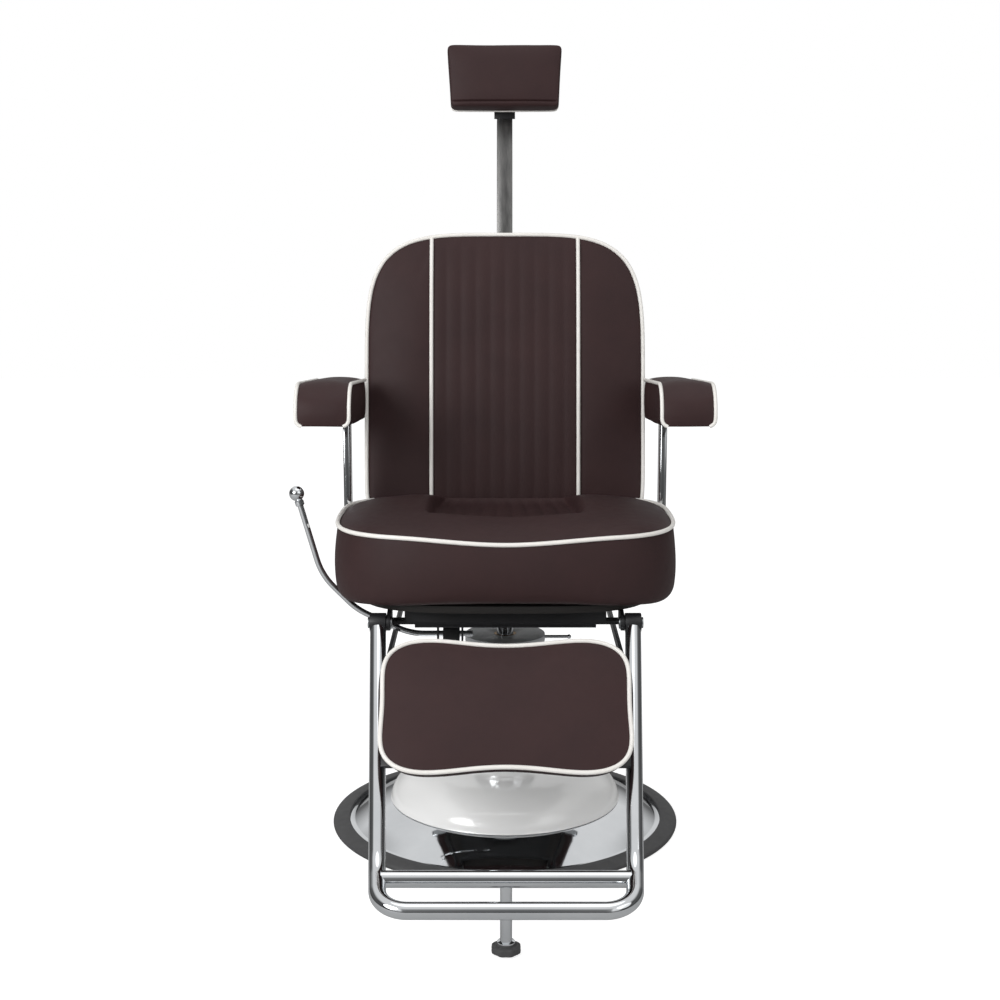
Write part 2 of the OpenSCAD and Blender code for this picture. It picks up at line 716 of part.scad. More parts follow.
// Ball knob with its ferrule on the end of the lever
module lever_ball() {
  end = lever_at(4);
  dir = unit(lever_at(4) - lever_at(3));
  color("#d8dadc") difference() {
    union() {
      translate(end + dir * 12) sphere(d = ball_d);
      straight_tube(end - dir * 9, end + dir * 3, lever_d + 5, 0);
    }
    straight_tube(end - dir * 20, end, lever_d, 0);
  }
}

module lock_block() {
  color("#151515") difference() {
    translate([lever_plate_x[0] + 10, -lever_y - 10, lever_z - 10]) cube([28, 20, 20]);
    x_rod(lever_plate_x[0], lever_plate_x[1], -lever_y, lever_z, lever_d / 2);
  }
}

// Back brackets: crank, pivot plate and a flat behind the board, with a stub pin for the link
module back_brackets() {
  foot = [back_y + 17 * cos(back_lean) - 22 * sin(back_lean), back_z - 17 * sin(back_lean) - 22 * cos(back_lean)];
  color("#1c1c1e") difference() {
    both_sides() {
      yz_plate(bracket_x, ear_t, capsule([recline_y, pivot_z], foot, 14, 9));
      yz_plate(bracket_x, ear_t, capsule([recline_y, pivot_z], [recline_y, pivot_z - crank], 14, 10));
      x_rod(bracket_x, link_x + link_t + 3, recline_y, pivot_z - crank, crank_pin_r);
      on_back() translate([bracket_x - flat_w / 2, back_board_t, -28]) cube([flat_w, flat_t, flat_h]);
    }
    both_sides() x_rod(bracket_x - 1, bracket_x + ear_t + 1, recline_y, pivot_z, pin_r + fit);
  }
}

// Back outline in its own plane: straight low sides and a wide arched top
function back_outline(u, v, hx, hy) = rounded(u, v, hx, hy, v > 0 ? 4.2 : 12);

function outline_points(hx, hy, n = 24) =
  let (us = spread(-1, 1, n), k = n - 1)
  [for (e = concat([for (i = [0 : k]) [us[i], -1]], [for (i = [0 : k]) [1, us[i]]],
    [for (i = [0 : k]) [-us[i], 1]], [for (i = [0 : k]) [-1, -us[i]]])) back_outline(e[0], e[1], hx, hy)];

module back_slab(inset, y0, t) {
  translate([0, y0 + t, back_h / 2]) rotate([90, 0, 0]) linear_extrude(t)
    polygon(outline_points(back_w / 2 - inset, back_h / 2 - inset));
}

module back_board() { color("#221f1e") on_back() back_slab(8, 0, back_board_t); }

module back_shell() {
  color("#463a39") on_back() difference() {
    back_slab(6, back_board_t, shell_d);
    back_slab(6 + shell_t, back_board_t - 1, shell_d - shell_t + 1);
    both_sides() translate([bracket_x - flat_w / 2 - gap, 0, -1]) cube([flat_w + 2 * gap, back_board_t + flat_t + gap, 20]);
  }
}

module back_cushion() {
  half = [back_w / 2, back_h / 2];
  color("#463a39") on_back() translate([0, 0, back_h / 2]) rotate([90, 0, 0])
    cushion(panel_grid(half[0], back_channels, back_panel_half), spread(-1, 1, 10), half,
      function(u, v) back_outline(u, v, half[0], half[1]),
      function(u, v) back_side + back_crown * (1 - pow(abs(u), 4)) * (1 - pow(abs(v), 4))
        - 3 * channel(u * half[0], back_panel_half, back_channels) * (1 - pow(abs(v), 6)),
      [for (h = [0.75, 0.45, 0.15, 0]) [4 * sin(180 * h) - 6 * (1 - h), back_side * h]]);
}

module headrest_socket() {
  slot = [post_w + 0.4, post_t + 0.4];
  color("#9b9da0") on_back() difference() {
    translate([-socket_w / 2, shell_out_y, socket_z]) cube([socket_w, post_gap + post_t + 10, socket_h]);
    translate([-slot[0] / 2, post_y - 0.2, socket_z - 1]) cube([slot[0], slot[1], socket_h + 2]);
    translate([0, post_y, knob_z]) rotate([-90, 0, 0]) cylinder(h = 60, r = clamp_r + fit);
  }
}

module clamp_screw() {
  color("#8a8c8e") on_back() translate([0, post_y + post_t + 0.6, knob_z]) rotate([-90, 0, 0])
    cylinder(h = 30, r = clamp_r);
}

module clamp_knob() {
  start = post_y + post_t + 14;
  color("#151515") on_back() translate([0, start, knob_z]) rotate([-90, 0, 0]) difference() {
    union() {
      cylinder(h = 18, r = 17);
      for (a = [0 : 60 : 300]) rotate(a) translate([16, 0, 0]) cylinder(h = 18, r = 5);
    }
    translate([0, 0, -1]) cylinder(h = 17.6, r = clamp_r);
  }
}

module headrest_post() {
  color("#a9abad") on_back() translate([-post_w / 2, post_y, post_low_z])
    cube([post_w, post_t, tilt_z + 14 - post_low_z]);
}

module headrest_fork() {
  color("#151515") on_back() difference() {
    union() {
      translate([-fork_w / 2, post_y - fork_t, tilt_z - 34]) cube([fork_w, fork_t, 48]);
      both_sides() yz_plate(fork_w / 2 - fork_t, fork_t, concat(arc(tilt_y, tilt_z, 8, 8, 90, 270, 12),
        [[post_y - fork_t + 1, tilt_z - 14], [post_y - fork_t + 1, tilt_z + 14]]));
      x_rod(-fork_w / 2, fork_w / 2, tilt_y, tilt_z, tilt_pin_r);
    }
  }
}

module headrest_knuckle() {
  color("#1c1c1e") on_back() difference() {
    union() {
      x_rod(-knuckle_w / 2, knuckle_w / 2, tilt_y, tilt_z, 8);
      translate([-knuckle_w / 2, head_back_y, tilt_z - 8]) cube([knuckle_w, tilt_y - head_back_y, 16]);
      translate([-40, head_back_y, tilt_z - head_low + 8]) cube([80, 4, head_h - 30]);
    }
    x_rod(-fork_w, fork_w, tilt_y, tilt_z, tilt_pin_r + fit);
  }
}

// Headrest pad, a little narrower at its lower edge, with a rolled lip below
module headrest_pad() {
  half = [head_w / 2, head_h / 2];
  color("#463a39") on_back() translate([0, head_back_y, tilt_z - head_low + head_h / 2]) rotate([90, 0, 0])
    cushion(spread(-1, 1, 12), concat([-1, -0.93, -0.86], spread(-0.8, 1, 8)), half,
      function(u, v) let (p = rounded(u, v, half[0], half[1], 14)) [p[0] * (0.97 + 0.03 * v), p[1]],
      function(u, v) head_side + 8 * (1 - pow(abs(u), 4)) * (1 - pow(abs(v), 4)) - (abs(v + 0.86) < 0.03 ? 3 : 0),
      [for (h = [0.7, 0.35, 0]) [3 * sin(180 * h) - 2 * (1 - h), head_side * h]]);
}

function leg_points() = [[leg_x, -leg_y, pivot_z], [leg_bend[0], -leg_bend[1], leg_bend[2]],
  [leg_corner[0], -leg_corner[1], leg_corner[2]], [joint_x, -leg_corner[1], leg_corner[2]]];

module crank_plate() {
  yz_plate(crank_x, ear_t, capsule([-leg_y, pivot_z], [-leg_y, pivot_z - crank], 12, 10));
}

// One side of the bent footrest tube, coped round its pivot boss and crank plate
module leg_side() {
  difference() {
    bent_tube(leg_points(), tube_d, bend_radii, leg_ref, tube_wall);
    x_rod(leg_tube_x - 1, leg_tube_x + tube_d + 1, -leg_y, pivot_z, boss_r);
    crank_plate();
  }
}

module leg_tube_right() { color("#d8dadc") leg_side(); }
module leg_tube_left() { color("#d8dadc") mirror([1, 0, 0]) leg_side(); }

// Pivot bosses with the crank plates and link pins
module leg_hinges() {
  color("#1c1c1e") difference() {
    both_sides() {
      x_rod(leg_tube_x, leg_tube_x + tube_d, -leg_y, pivot_z, boss_r);
      crank_plate();
      x_rod(link_x - 3, crank_x + 1, -leg_y, pivot_z - crank, crank_pin_r);
    }
    both_sides() x_rod(leg_tube_x - 1, leg_tube_x + tube_d + 1, -leg_y, pivot_z, pin_r + fit);
  }
}

module leg_front_bar() {
  color("#d8dadc") straight_tube([-joint_x, -leg_corner[1], leg_corner[2]], [joint_x, -leg_corner[1], leg_corner[2]],
    tube_d, tube_wall);
}

module tube_space() { both_sides() bent_tube(leg_points(), tube_d, bend_radii, leg_ref); }

function cross_point() = [0, -leg_bend[1], leg_bend[2]] * (1 - cross_at) + [0, -leg_corner[1], leg_corner[2]] * cross_at;

module leg_crossbar() {
  p = cross_point();
  reach = leg_bend[0] * (1 - cross_at) + leg_corner[0] * cross_at - tube_d / 4;
  color("#d8dadc") difference() {
    x_rod(-reach, reach, p[1], p[2], tube_d / 2);
    x_rod(-reach - 1, reach + 1, p[1], p[2], tube_d / 2 - tube_wall);
    tube_space();
  }
}

module leg_strips() {
  color("#1c1c1e") difference() {
    on_leg() for (t = [leg_pad_top + 2 * strip_w, leg_pad_top + leg_pad_h - strip_w]) {
      reach = leg_x - leg_toe * t / leg_run - 6;
      translate([-reach, -leg_board_y, -t]) cube([2 * reach, strip_t, strip_w]);
    }
    tube_space();
  }
}

// Hourglass outline of the leg pad
function leg_outline(u, v, hx, hy) =
  let (p = rounded(u, v, hx, hy, 4.5), s = p[0] / hx, t = p[1] / hy)
  [p[0] * (0.985 - 0.015 * cos(180 * t)), p[1] * (0.87 + 0.13 * (1 - cos(180 * min(1, abs(s) * 1.15))) / 2)];

function leg_edge(inset) = let (us = spread(-1, 1, 24), hx = leg_pad_w / 2 - inset, hy = leg_pad_h / 2 - inset)
  [for (e = concat([for (i = [0 : 23]) [us[i], -1]], [for (i = [0 : 23]) [1, us[i]]],
    [for (i = [0 : 23]) [-us[i], 1]], [for (i = [0 : 23]) [-1, -us[i]]])) leg_outline(e[0], e[1], hx, hy)];

module leg_board() {
  color("#221f1e") on_leg() translate([0, -leg_board_y, -leg_pad_top - leg_pad_h / 2]) rotate([90, 0, 0])
    linear_extrude(leg_board_t) polygon(leg_edge(7));
}

module leg_pad() {
  half = [leg_pad_w / 2, leg_pad_h / 2];
  color("#463a39") on_leg() translate([0, -leg_board_y - leg_board_t, -leg_pad_top - leg_pad_h / 2]) rotate([90, 0, 0])
    cushion(spread(-1, 1, 18), spread(-1, 1, 10), half,
      function(u, v) leg_outline(u, v, half[0], half[1]),
      function(u, v) 28 + 9 * (1 - pow(abs(u), 4)) * (1 - pow(abs(v), 4)),
      [for (h = [0.7, 0.35, 0]) [2 * sin(180 * h) - 4 * (1 - h), 28 * h]]);
}

module stabiliser_rod() {
  p = cross_point();
  color("#d8dadc") difference() {
    translate([0, p[1], stab_gap + stab_h]) cylinder(h = p[2] - stab_gap - stab_h, d = rod_d);
    x_rod(-rod_d, rod_d, p[1], p[2], tube_d / 2);
  }
}

module stabiliser_foot() {
  color("#151515") translate([0, cross_point()[1], stab_gap]) {
    cylinder(h = stab_h - 4, d = stab_d);
    cylinder(h = stab_h, d = rod_d + 10);
  }
}

// Link bar from the back's crank to the footrest's crank
module link_bar() {
  z = pivot_z - crank;
  r = link_h / 2;
  difference() {
    yz_plate(link_x, link_t, capsule([-leg_y, z], [recline_y, z], r, r));
    x_rod(link_x - 1, link_x + link_t + 1, recline_y, z, crank_pin_r + fit);
    x_rod(link_x - 1, link_x + link_t + 1, -leg_y, z, crank_pin_r + link_play);
  }
}

module link_right() { color("#1c1c1e") link_bar(); }
module link_left() { color("#1c1c1e") mirror([1, 0, 0]) link_bar(); }

base_plate();
base_ring();
base_dish();
dome_cover();
pump_foot();
pump_bolts();
reservoir_tube();
cylinder_tube();
column_sleeve();
pump_head();
gland_bush();
lock_lever();
pedal_bracket();
base_pins();
pedal_arm();
pedal_pad();
pump_plunger();
ram();
ram_piston();
piston_seal();
thrust_washer();
swivel_hub();
frame_plate();
frame_rails();
frame_front_bar();
frame_rear_bar();
recline_ears();
seat_board();
seat_cushion();
arm_uprights();
arm_plates();
arm_pad_left();
arm_pad_right();
pivot_pins();
lever_rod();
lever_ball();
lock_block();
back_brackets();
back_board();
back_shell();
back_cushion();
headrest_socket();
clamp_screw();
clamp_knob();
headrest_post();
headrest_fork();
headrest_knuckle();
headrest_pad();
leg_tube_left();
leg_tube_right();
leg_hinges();
leg_front_bar();
leg_crossbar();
leg_strips();
leg_board();
leg_pad();
stabiliser_rod();
stabiliser_foot();
link_left();
link_right();
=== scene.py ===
# Hydraulic barber chair: the visible pieces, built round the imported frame. Lengths are metres.
import json
import math

import bpy
from mathutils import Matrix, Vector, noise

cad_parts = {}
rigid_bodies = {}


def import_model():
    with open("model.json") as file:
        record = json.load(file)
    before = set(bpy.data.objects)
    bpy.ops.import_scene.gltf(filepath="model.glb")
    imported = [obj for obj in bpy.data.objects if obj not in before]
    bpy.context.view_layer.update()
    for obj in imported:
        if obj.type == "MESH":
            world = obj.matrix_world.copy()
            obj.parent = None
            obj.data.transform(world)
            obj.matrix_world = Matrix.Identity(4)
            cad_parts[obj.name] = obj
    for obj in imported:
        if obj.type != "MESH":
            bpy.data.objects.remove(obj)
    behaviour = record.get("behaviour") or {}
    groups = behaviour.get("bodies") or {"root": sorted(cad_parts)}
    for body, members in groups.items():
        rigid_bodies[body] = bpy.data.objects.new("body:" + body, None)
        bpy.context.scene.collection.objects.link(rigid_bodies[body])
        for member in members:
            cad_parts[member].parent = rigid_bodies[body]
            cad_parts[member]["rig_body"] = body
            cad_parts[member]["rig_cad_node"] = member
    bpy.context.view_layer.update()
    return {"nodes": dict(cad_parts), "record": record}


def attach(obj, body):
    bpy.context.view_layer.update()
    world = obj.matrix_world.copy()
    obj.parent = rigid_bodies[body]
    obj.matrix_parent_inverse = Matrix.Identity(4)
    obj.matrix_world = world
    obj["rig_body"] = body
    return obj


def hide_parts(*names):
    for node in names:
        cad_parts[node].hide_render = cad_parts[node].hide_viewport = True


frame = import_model()
nodes = frame["nodes"]
nodeBody = {n: body for body, members in frame["record"]["behaviour"]["bodies"].items() for n in members}
nodeSlot = {s["node"]: s["material_slot"] for s in frame["record"]["subparts"]}
print("frame loaded")


def deselectAll():
    if bpy.context.object and bpy.context.object.mode != "OBJECT":
        bpy.ops.object.mode_set(mode="OBJECT")
    bpy.ops.object.select_all(action="DESELECT")


def makeActive(obj):
    deselectAll()
    obj.select_set(True)
    bpy.context.view_layer.objects.active = obj


def addPrimitive(kind, name, **settings):
    deselectAll()
    getattr(bpy.ops.mesh, "primitive_" + kind + "_add")(**settings)
    obj = bpy.context.object
    obj.name = name
    obj.data.name = name
    bpy.ops.object.transform_apply(location=True, rotation=True, scale=True)
    return obj


def applyModifier(obj, kind, **settings):
    makeActive(obj)
    modifier = obj.modifiers.new(kind.title(), kind)
    for key, value in settings.items():
        setattr(modifier, key, value)
    bpy.ops.object.modifier_apply(modifier=modifier.name)


def editAll(obj):
    makeActive(obj)
    bpy.ops.object.mode_set(mode="EDIT")
    bpy.ops.mesh.select_all(action="SELECT")


def tidyNormals(obj, merge=1e-6):
    editAll(obj)
    bpy.ops.mesh.remove_doubles(threshold=merge)
    bpy.ops.mesh.normals_make_consistent(inside=False)
    bpy.ops.object.mode_set(mode="OBJECT")


def smoothByAngle(obj, degrees):
    makeActive(obj)
    bpy.ops.object.shade_smooth_by_angle(angle=math.radians(degrees))


def smoothstep(low, high, x):
    t = min(1, max(0, (x - low) / (high - low)))
    return t * t * (3 - 2 * t)


def finishPiece(obj, material, slot, body, *replaced):
    obj.data.materials.clear()
    obj.data.materials.append(material)
    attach(obj, body)
    if replaced:
        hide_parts(*replaced)


def linear(hexColour):
    values = [int(hexColour[i:i + 2], 16) / 255 for i in (1, 3, 5)]
    return [v / 12.92 if v <= 0.04045 else ((v + 0.055) / 1.055) ** 2.4 for v in values] + [1]


def addNode(tree, kind, settings=None, links=None):
    node = tree.nodes.new("ShaderNode" + kind)
    for key, value in (settings or {}).items():
        if isinstance(key, str) and hasattr(node, key):
            setattr(node, key, value)
        else:
            node.inputs[key].default_value = value
    for key, source in (links or {}).items():
        tree.links.new(source, node.inputs[key])
    return node


def makeFinish(name, look):
    material = bpy.data.materials.new(name)
    material.use_nodes = True
    tree = material.node_tree
    tree.nodes.clear()
    coords = addNode(tree, "TexCoord")
    placing = {"Scale": look.get("stretch", (1, 1, 1)), "Rotation": (look.get("turn", 0), 0, 0)}
    place = addNode(tree, "Mapping", placing, {"Vector": coords.outputs["Object"]})
    patches = addNode(tree, "TexNoise", {"Scale": 1000 / look["patchMm"], "Detail": 4, "Roughness": 0.6},
                      {"Vector": place.outputs[0]})
    colour = addNode(tree, "Mix", {"data_type": "RGBA", 6: linear(look["dark"]), 7: linear(look["light"])},
                     {0: patches.outputs["Fac"]})
    smears = addNode(tree, "TexNoise", {"Scale": 1000 / look["smearMm"], "Detail": 3}, {"Vector": place.outputs[0]})
    rough = addNode(tree, "MapRange", {"To Min": look["rough"][0], "To Max": look["rough"][1]},
                    {"Value": smears.outputs["Fac"]})
    if look.get("cells"):
        grain = addNode(tree, "TexVoronoi", {"feature": "SMOOTH_F1", "Scale": 1000 / look["grainMm"]},
                        {"Vector": place.outputs[0]}).outputs["Distance"]
    else:
        grain = addNode(tree, "TexNoise", {"Scale": 1000 / look["grainMm"], "Detail": 3},
                        {"Vector": place.outputs[0]}).outputs["Fac"]
    bump = addNode(tree, "Bump", {"Strength": look["bump"], "Distance": look["depthMm"] / 1000}, {"Height": grain})
    shader = addNode(tree, "BsdfPrincipled", look.get("shader", {}),
                     {"Base Color": colour.outputs[2], "Roughness": rough.outputs[0], "Normal": bump.outputs[0]})
    addNode(tree, "OutputMaterial", None, {"Surface": shader.outputs[0]})
    return material


finishes = {
    # upholstery hide: nearly matt, with a fine pebble grain drawn at 2.2 mm so that it shows
    "brownHide": dict(dark="#302122", light="#3c2828", patchMm=90, rough=(0.5, 0.62), smearMm=14, cells=True,
                      grainMm=2.2, depthMm=0.25, bump=0.3, shader={"Specular IOR Level": 0.22}),
    # white vinyl welt cord: smooth, a little soiled, with faint cord ridges at 1.5 mm
    "whiteVinyl": dict(dark="#e6e2dc", light="#f8f6f2", patchMm=30, rough=(0.35, 0.5), smearMm=6, grainMm=1.5,
                       depthMm=0.15, bump=0.2),
    # decorative chrome plate on polished steel: near mirror, faint wipe marks
    "chromePlate": dict(dark="#c9cccf", light="#e4e6e8", patchMm=120, rough=(0.03, 0.09), smearMm=25, grainMm=60,
                        depthMm=0.2, bump=0.05, shader={"Metallic": 1}),
    # drawn flat steel bar, linished along its length: streaks 1 mm wide
    "linishedSteel": dict(dark="#626263", light="#959492", patchMm=6, rough=(0.24, 0.44), smearMm=5, grainMm=1.2,
                          depthMm=0.05, bump=0.25, stretch=(1, 1, 0.035), turn=math.radians(-11),
                          shader={"Metallic": 1}),
    # zinc-plated steel: pale, slightly cloudy
    "zincPlate": dict(dark="#8f9294", light="#b4b7b9", patchMm=12, rough=(0.28, 0.4), smearMm=5, grainMm=3,
                      depthMm=0.03, bump=0.2, shader={"Metallic": 1}),
    # cast aluminium, turned and left satin
    "satinAluminium": dict(dark="#b2b4b6", light="#cbcdce", patchMm=25, rough=(0.38, 0.5), smearMm=8, grainMm=1.2,
                           depthMm=0.05, bump=0.3, shader={"Metallic": 0.4}),
    # turned bronze bush, darkened by oil
    "turnedBronze": dict(dark="#7a5c2c", light="#a9854a", patchMm=10, rough=(0.25, 0.4), smearMm=4, grainMm=2,
                         depthMm=0.03, bump=0.2, shader={"Metallic": 1}),
    # black powder coat: a fine orange peel at 1.4 mm
    "powderCoat": dict(dark="#161618", light="#222225", patchMm=60, rough=(0.38, 0.52), smearMm=20, grainMm=1.4,
                       depthMm=0.08, bump=0.35),
    # moulded rubber: matt and faintly dusty
    "mouldedRubber": dict(dark="#404041", light="#525253", patchMm=40, rough=(0.55, 0.75), smearMm=12, grainMm=1.6,
                          depthMm=0.1, bump=0.3),
    # gloss white cover, sprayed: deep gloss with slight waviness
    "whiteGloss": dict(dark="#f5f5f4", light="#fafaf9", patchMm=150, rough=(0.12, 0.2), smearMm=40, grainMm=45,
                       depthMm=0.12, bump=0.1, shader={"Coat Weight": 0.5, "Coat Roughness": 0.08}),
    # birch plywood stained black, with its grain along X
    "stainedPly": dict(dark="#191615", light="#2b2725", patchMm=18, rough=(0.55, 0.7), smearMm=8, grainMm=2,
                       depthMm=0.1, bump=0.3, stretch=(0.15, 1, 1)),
    # black moulded nylon
    "blackNylon": dict(dark="#131314", light="#1f1f20", patchMm=20, rough=(0.35, 0.5), smearMm=6, grainMm=1.2,
                       depthMm=0.06, bump=0.3),
    # black enamel over rough cast iron
    "enamelledIron": dict(dark="#17171a", light="#26262a", patchMm=35, rough=(0.35, 0.55), smearMm=10, grainMm=4,
                          depthMm=0.3, bump=0.3),
}
made = {name: makeFinish(name, look) for name, look in finishes.items()}
slotFinish = {"cast_iron_black": "enamelledIron", "rubber_black": "mouldedRubber", "chrome": "chromePlate",
              "white_cover": "whiteGloss", "zinc_steel": "zincPlate", "cast_aluminium": "satinAluminium",
              "bronze": "turnedBronze", "black_steel": "powderCoat", "brushed_steel": "linishedSteel",
              "plywood": "stainedPly", "leather_brown": "brownHide", "black_plastic": "blackNylon"}
for nodeName, obj in nodes.items():
    obj.data.materials.clear()
    obj.data.materials.append(made[slotFinish[nodeSlot[nodeName]]])
print("materials made")


def dressNode(node, bevel):  # a merged, softened copy of a CAD node that takes its place
    makeActive(nodes[node])
    bpy.ops.object.duplicate()
    obj = bpy.context.object
    bpy.ops.object.parent_clear(type="CLEAR")
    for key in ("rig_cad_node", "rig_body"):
        if key in obj:
            del obj[key]
    obj.name = node + ".dressed"
    editAll(obj)
    bpy.ops.mesh.remove_doubles(threshold=2e-6)
    bpy.ops.mesh.dissolve_limited(angle_limit=math.radians(0.6))
    bpy.ops.object.mode_set(mode="OBJECT")
    applyModifier(obj, "BEVEL", width=bevel, segments=2, limit_method="ANGLE", angle_limit=math.radians(40),
                  harden_normals=False, use_clamp_overlap=True)
    smoothByAngle(obj, 32)
    finishPiece(obj, made[slotFinish[nodeSlot[node]]], nodeSlot[node], nodeBody[node], node)


# turned pieces: a closed outline of (radius, height) is spun about a vertical axis
def arcPoints(cx, cz, rx, rz, a0, a1, count):
    angles = [math.radians(a0 + (a1 - a0) * i / count) for i in range(count + 1)]
    return [(cx + rx * math.cos(a), cz + rz * math.sin(a)) for a in angles]


def turnProfile(name, outline, steps, centre=(0, 0, 0)):
    obj = addPrimitive("circle", name, vertices=len(outline), radius=0.1)
    for vertex, (radius, height) in zip(obj.data.vertices, outline):
        vertex.co = Vector(centre) + Vector((radius, 0, height))
    editAll(obj)
    bpy.ops.mesh.spin(steps=steps, angle=2 * math.pi, center=centre, axis=(0, 0, 1))
    tidyNormals(obj, 2e-6)
    smoothByAngle(obj, 38)
    return obj


base = dict(ring=0.31, plate=0.284, lip=0.004, ringTop=0.014, plateTop=0.008, dish=0.002, land=0.012, dome=0.205,
            rim=0.046, swell=0.09, neck=0.128, cover=0.0025, column=0.058, columnWall=0.002, columnLow=0.11,
            columnTop=0.3335)
pedalSlot = dict(y=0.238, z=0.074, size=(0.032, 0.2, 0.046))


def dishHeight(r):
    flat = base["plate"] - base["land"]
    t = min(1, max(0, (flat - r) / (flat - base["dome"])))
    low = base["plateTop"] + base["dish"]
    return low + (base["rim"] - low) * (t + base["swell"] * math.sin(math.pi * t))


def domeLine(off):
    r0, r1, shelf = base["column"] + 0.042, base["column"] + 0.0026, base["neck"] - 0.02
    line = arcPoints(r0, base["rim"], base["dome"] - r0 - off, shelf - base["rim"] - off, 0, 90, 28)
    for i in range(1, 11):
        b = math.radians(i * 9)
        line.append((r0 - (r0 - r1 + off) * math.sin(b), base["neck"] - (base["neck"] - shelf + off) * math.cos(b)))
    return line


ringOutline = [(base["plate"], 0.0), (base["ring"] - 0.006, 0.0)]
ringOutline += arcPoints(base["ring"] - 0.005, 0.005, 0.005, 0.005, -80, 62, 10)
ringOutline += [(base["ring"] - 0.0065, 0.0106), (base["ring"] - 0.016, 0.0136)]
ringOutline += arcPoints(base["plate"] - base["lip"] + 0.002, base["ringTop"] - 0.002, 0.002, 0.002, 90, 180, 5)
ringOutline += [(base["plate"] - base["lip"], 0.0102), (base["plate"], 0.0102)]
finishPiece(turnProfile("rubberRing", ringOutline, 160), made["mouldedRubber"], "rubber_black", "base", "base_ring")

dishEdge = base["plate"] - base["land"]
radii = [base["plate"] - 0.0001] + [dishEdge - (dishEdge - base["dome"]) * i / 40 for i in range(41)]
radii += [base["dome"] - 0.03]
dishOutline = [(r, dishHeight(r)) for r in radii] + [(r, dishHeight(r) - base["dish"]) for r in reversed(radii)]
finishPiece(turnProfile("chromeDish", dishOutline, 192), made["chromePlate"], "chrome", "base", "base_dish")

outer = domeLine(0)
domeOutline = [(base["dome"] + 0.0012, base["rim"] + 0.0012)] + outer[1:] + list(reversed(domeLine(base["cover"])))
domeOutline += [(base["dome"] - base["cover"], base["rim"] + 0.0004)]
dome = turnProfile("domeCover", domeOutline, 160)
pedalCut = addPrimitive("cube", "pedalCut", size=1, location=(0, pedalSlot["y"], pedalSlot["z"]),
                        scale=pedalSlot["size"])
applyModifier(dome, "BOOLEAN", object=pedalCut, operation="DIFFERENCE", solver="EXACT")
bpy.data.objects.remove(pedalCut)
smoothByAngle(dome, 38)
finishPiece(dome, made["whiteGloss"], "white_cover", "base", "dome_cover")

columnBore = base["column"] - base["columnWall"]
columnOutline = [(columnBore, base["columnLow"]), (base["column"], base["columnLow"]),
                 (base["column"], base["columnTop"]), (columnBore, base["columnTop"])]
finishPiece(turnProfile("columnSleeve", columnOutline, 96), made["chromePlate"], "chrome", "base", "column_sleeve")
print("base turned")

softEdge = dict(fine=0.0005, cast=0.0012, frame=0.0006, uprights=0.0022, post=0.0012, shell=0.004)
for node in ("pump_foot", "pump_bolts", "pump_head", "gland_bush", "lock_lever", "pedal_bracket", "pedal_arm",
             "pedal_pad", "pump_plunger", "ram", "thrust_washer", "swivel_hub", "base_plate"):
    dressNode(node, softEdge["fine" if node in ("thrust_washer", "gland_bush", "lock_lever") else "cast"])
for node in ("frame_plate", "frame_rails", "frame_front_bar", "frame_rear_bar", "recline_ears", "pivot_pins",
             "arm_plates", "back_brackets", "leg_hinges", "leg_strips", "link_left", "link_right", "lock_block",
             "headrest_socket", "headrest_fork", "headrest_knuckle", "clamp_screw", "clamp_knob", "seat_board",
             "back_board", "leg_board"):
    dressNode(node, softEdge["frame"])
dressNode("arm_uprights", softEdge["uprights"])
dressNode("headrest_post", softEdge["post"])
dressNode("back_shell", softEdge["shell"])
print("frame pieces dressed")


# bent tubes: a ring is extruded along the straights and spun round each bend
def bentTube(name, corners, radius, bends, sides=40, stepDegrees=4):
    start, direction = Vector(corners[0]), (Vector(corners[1]) - Vector(corners[0])).normalized()
    turn = direction.to_track_quat("Z", "X").to_euler()
    obj = addPrimitive("circle", name, vertices=sides, radius=radius, location=start, rotation=turn)
    editAll(obj)
    here = start
    for i in range(1, len(corners)):
        corner = Vector(corners[i])
        u = (corner - Vector(corners[i - 1])).normalized()
        if i == len(corners) - 1:
            bpy.ops.mesh.extrude_region_move(TRANSFORM_OT_translate={"value": corner - here})
            break
        v = (Vector(corners[i + 1]) - corner).normalized()
        angle = u.angle(v)
        reach = bends[i - 1] * math.tan(angle / 2)
        bpy.ops.mesh.extrude_region_move(TRANSFORM_OT_translate={"value": corner - u * reach - here})
        side = (v - u * v.dot(u)).normalized()
        centre = corner - u * reach + side * bends[i - 1]
        bpy.ops.mesh.spin(steps=max(3, round(math.degrees(angle) / stepDegrees)), angle=angle, center=centre,
                          axis=side.cross(u))
        here = corner + v * reach
    bpy.ops.object.mode_set(mode="OBJECT")
    editAll(obj)
    bpy.ops.mesh.select_all(action="DESELECT")
    bpy.ops.mesh.select_non_manifold()
    bpy.ops.mesh.edge_face_add()
    tidyNormals(obj)
    smoothByAngle(obj, 40)
    return obj


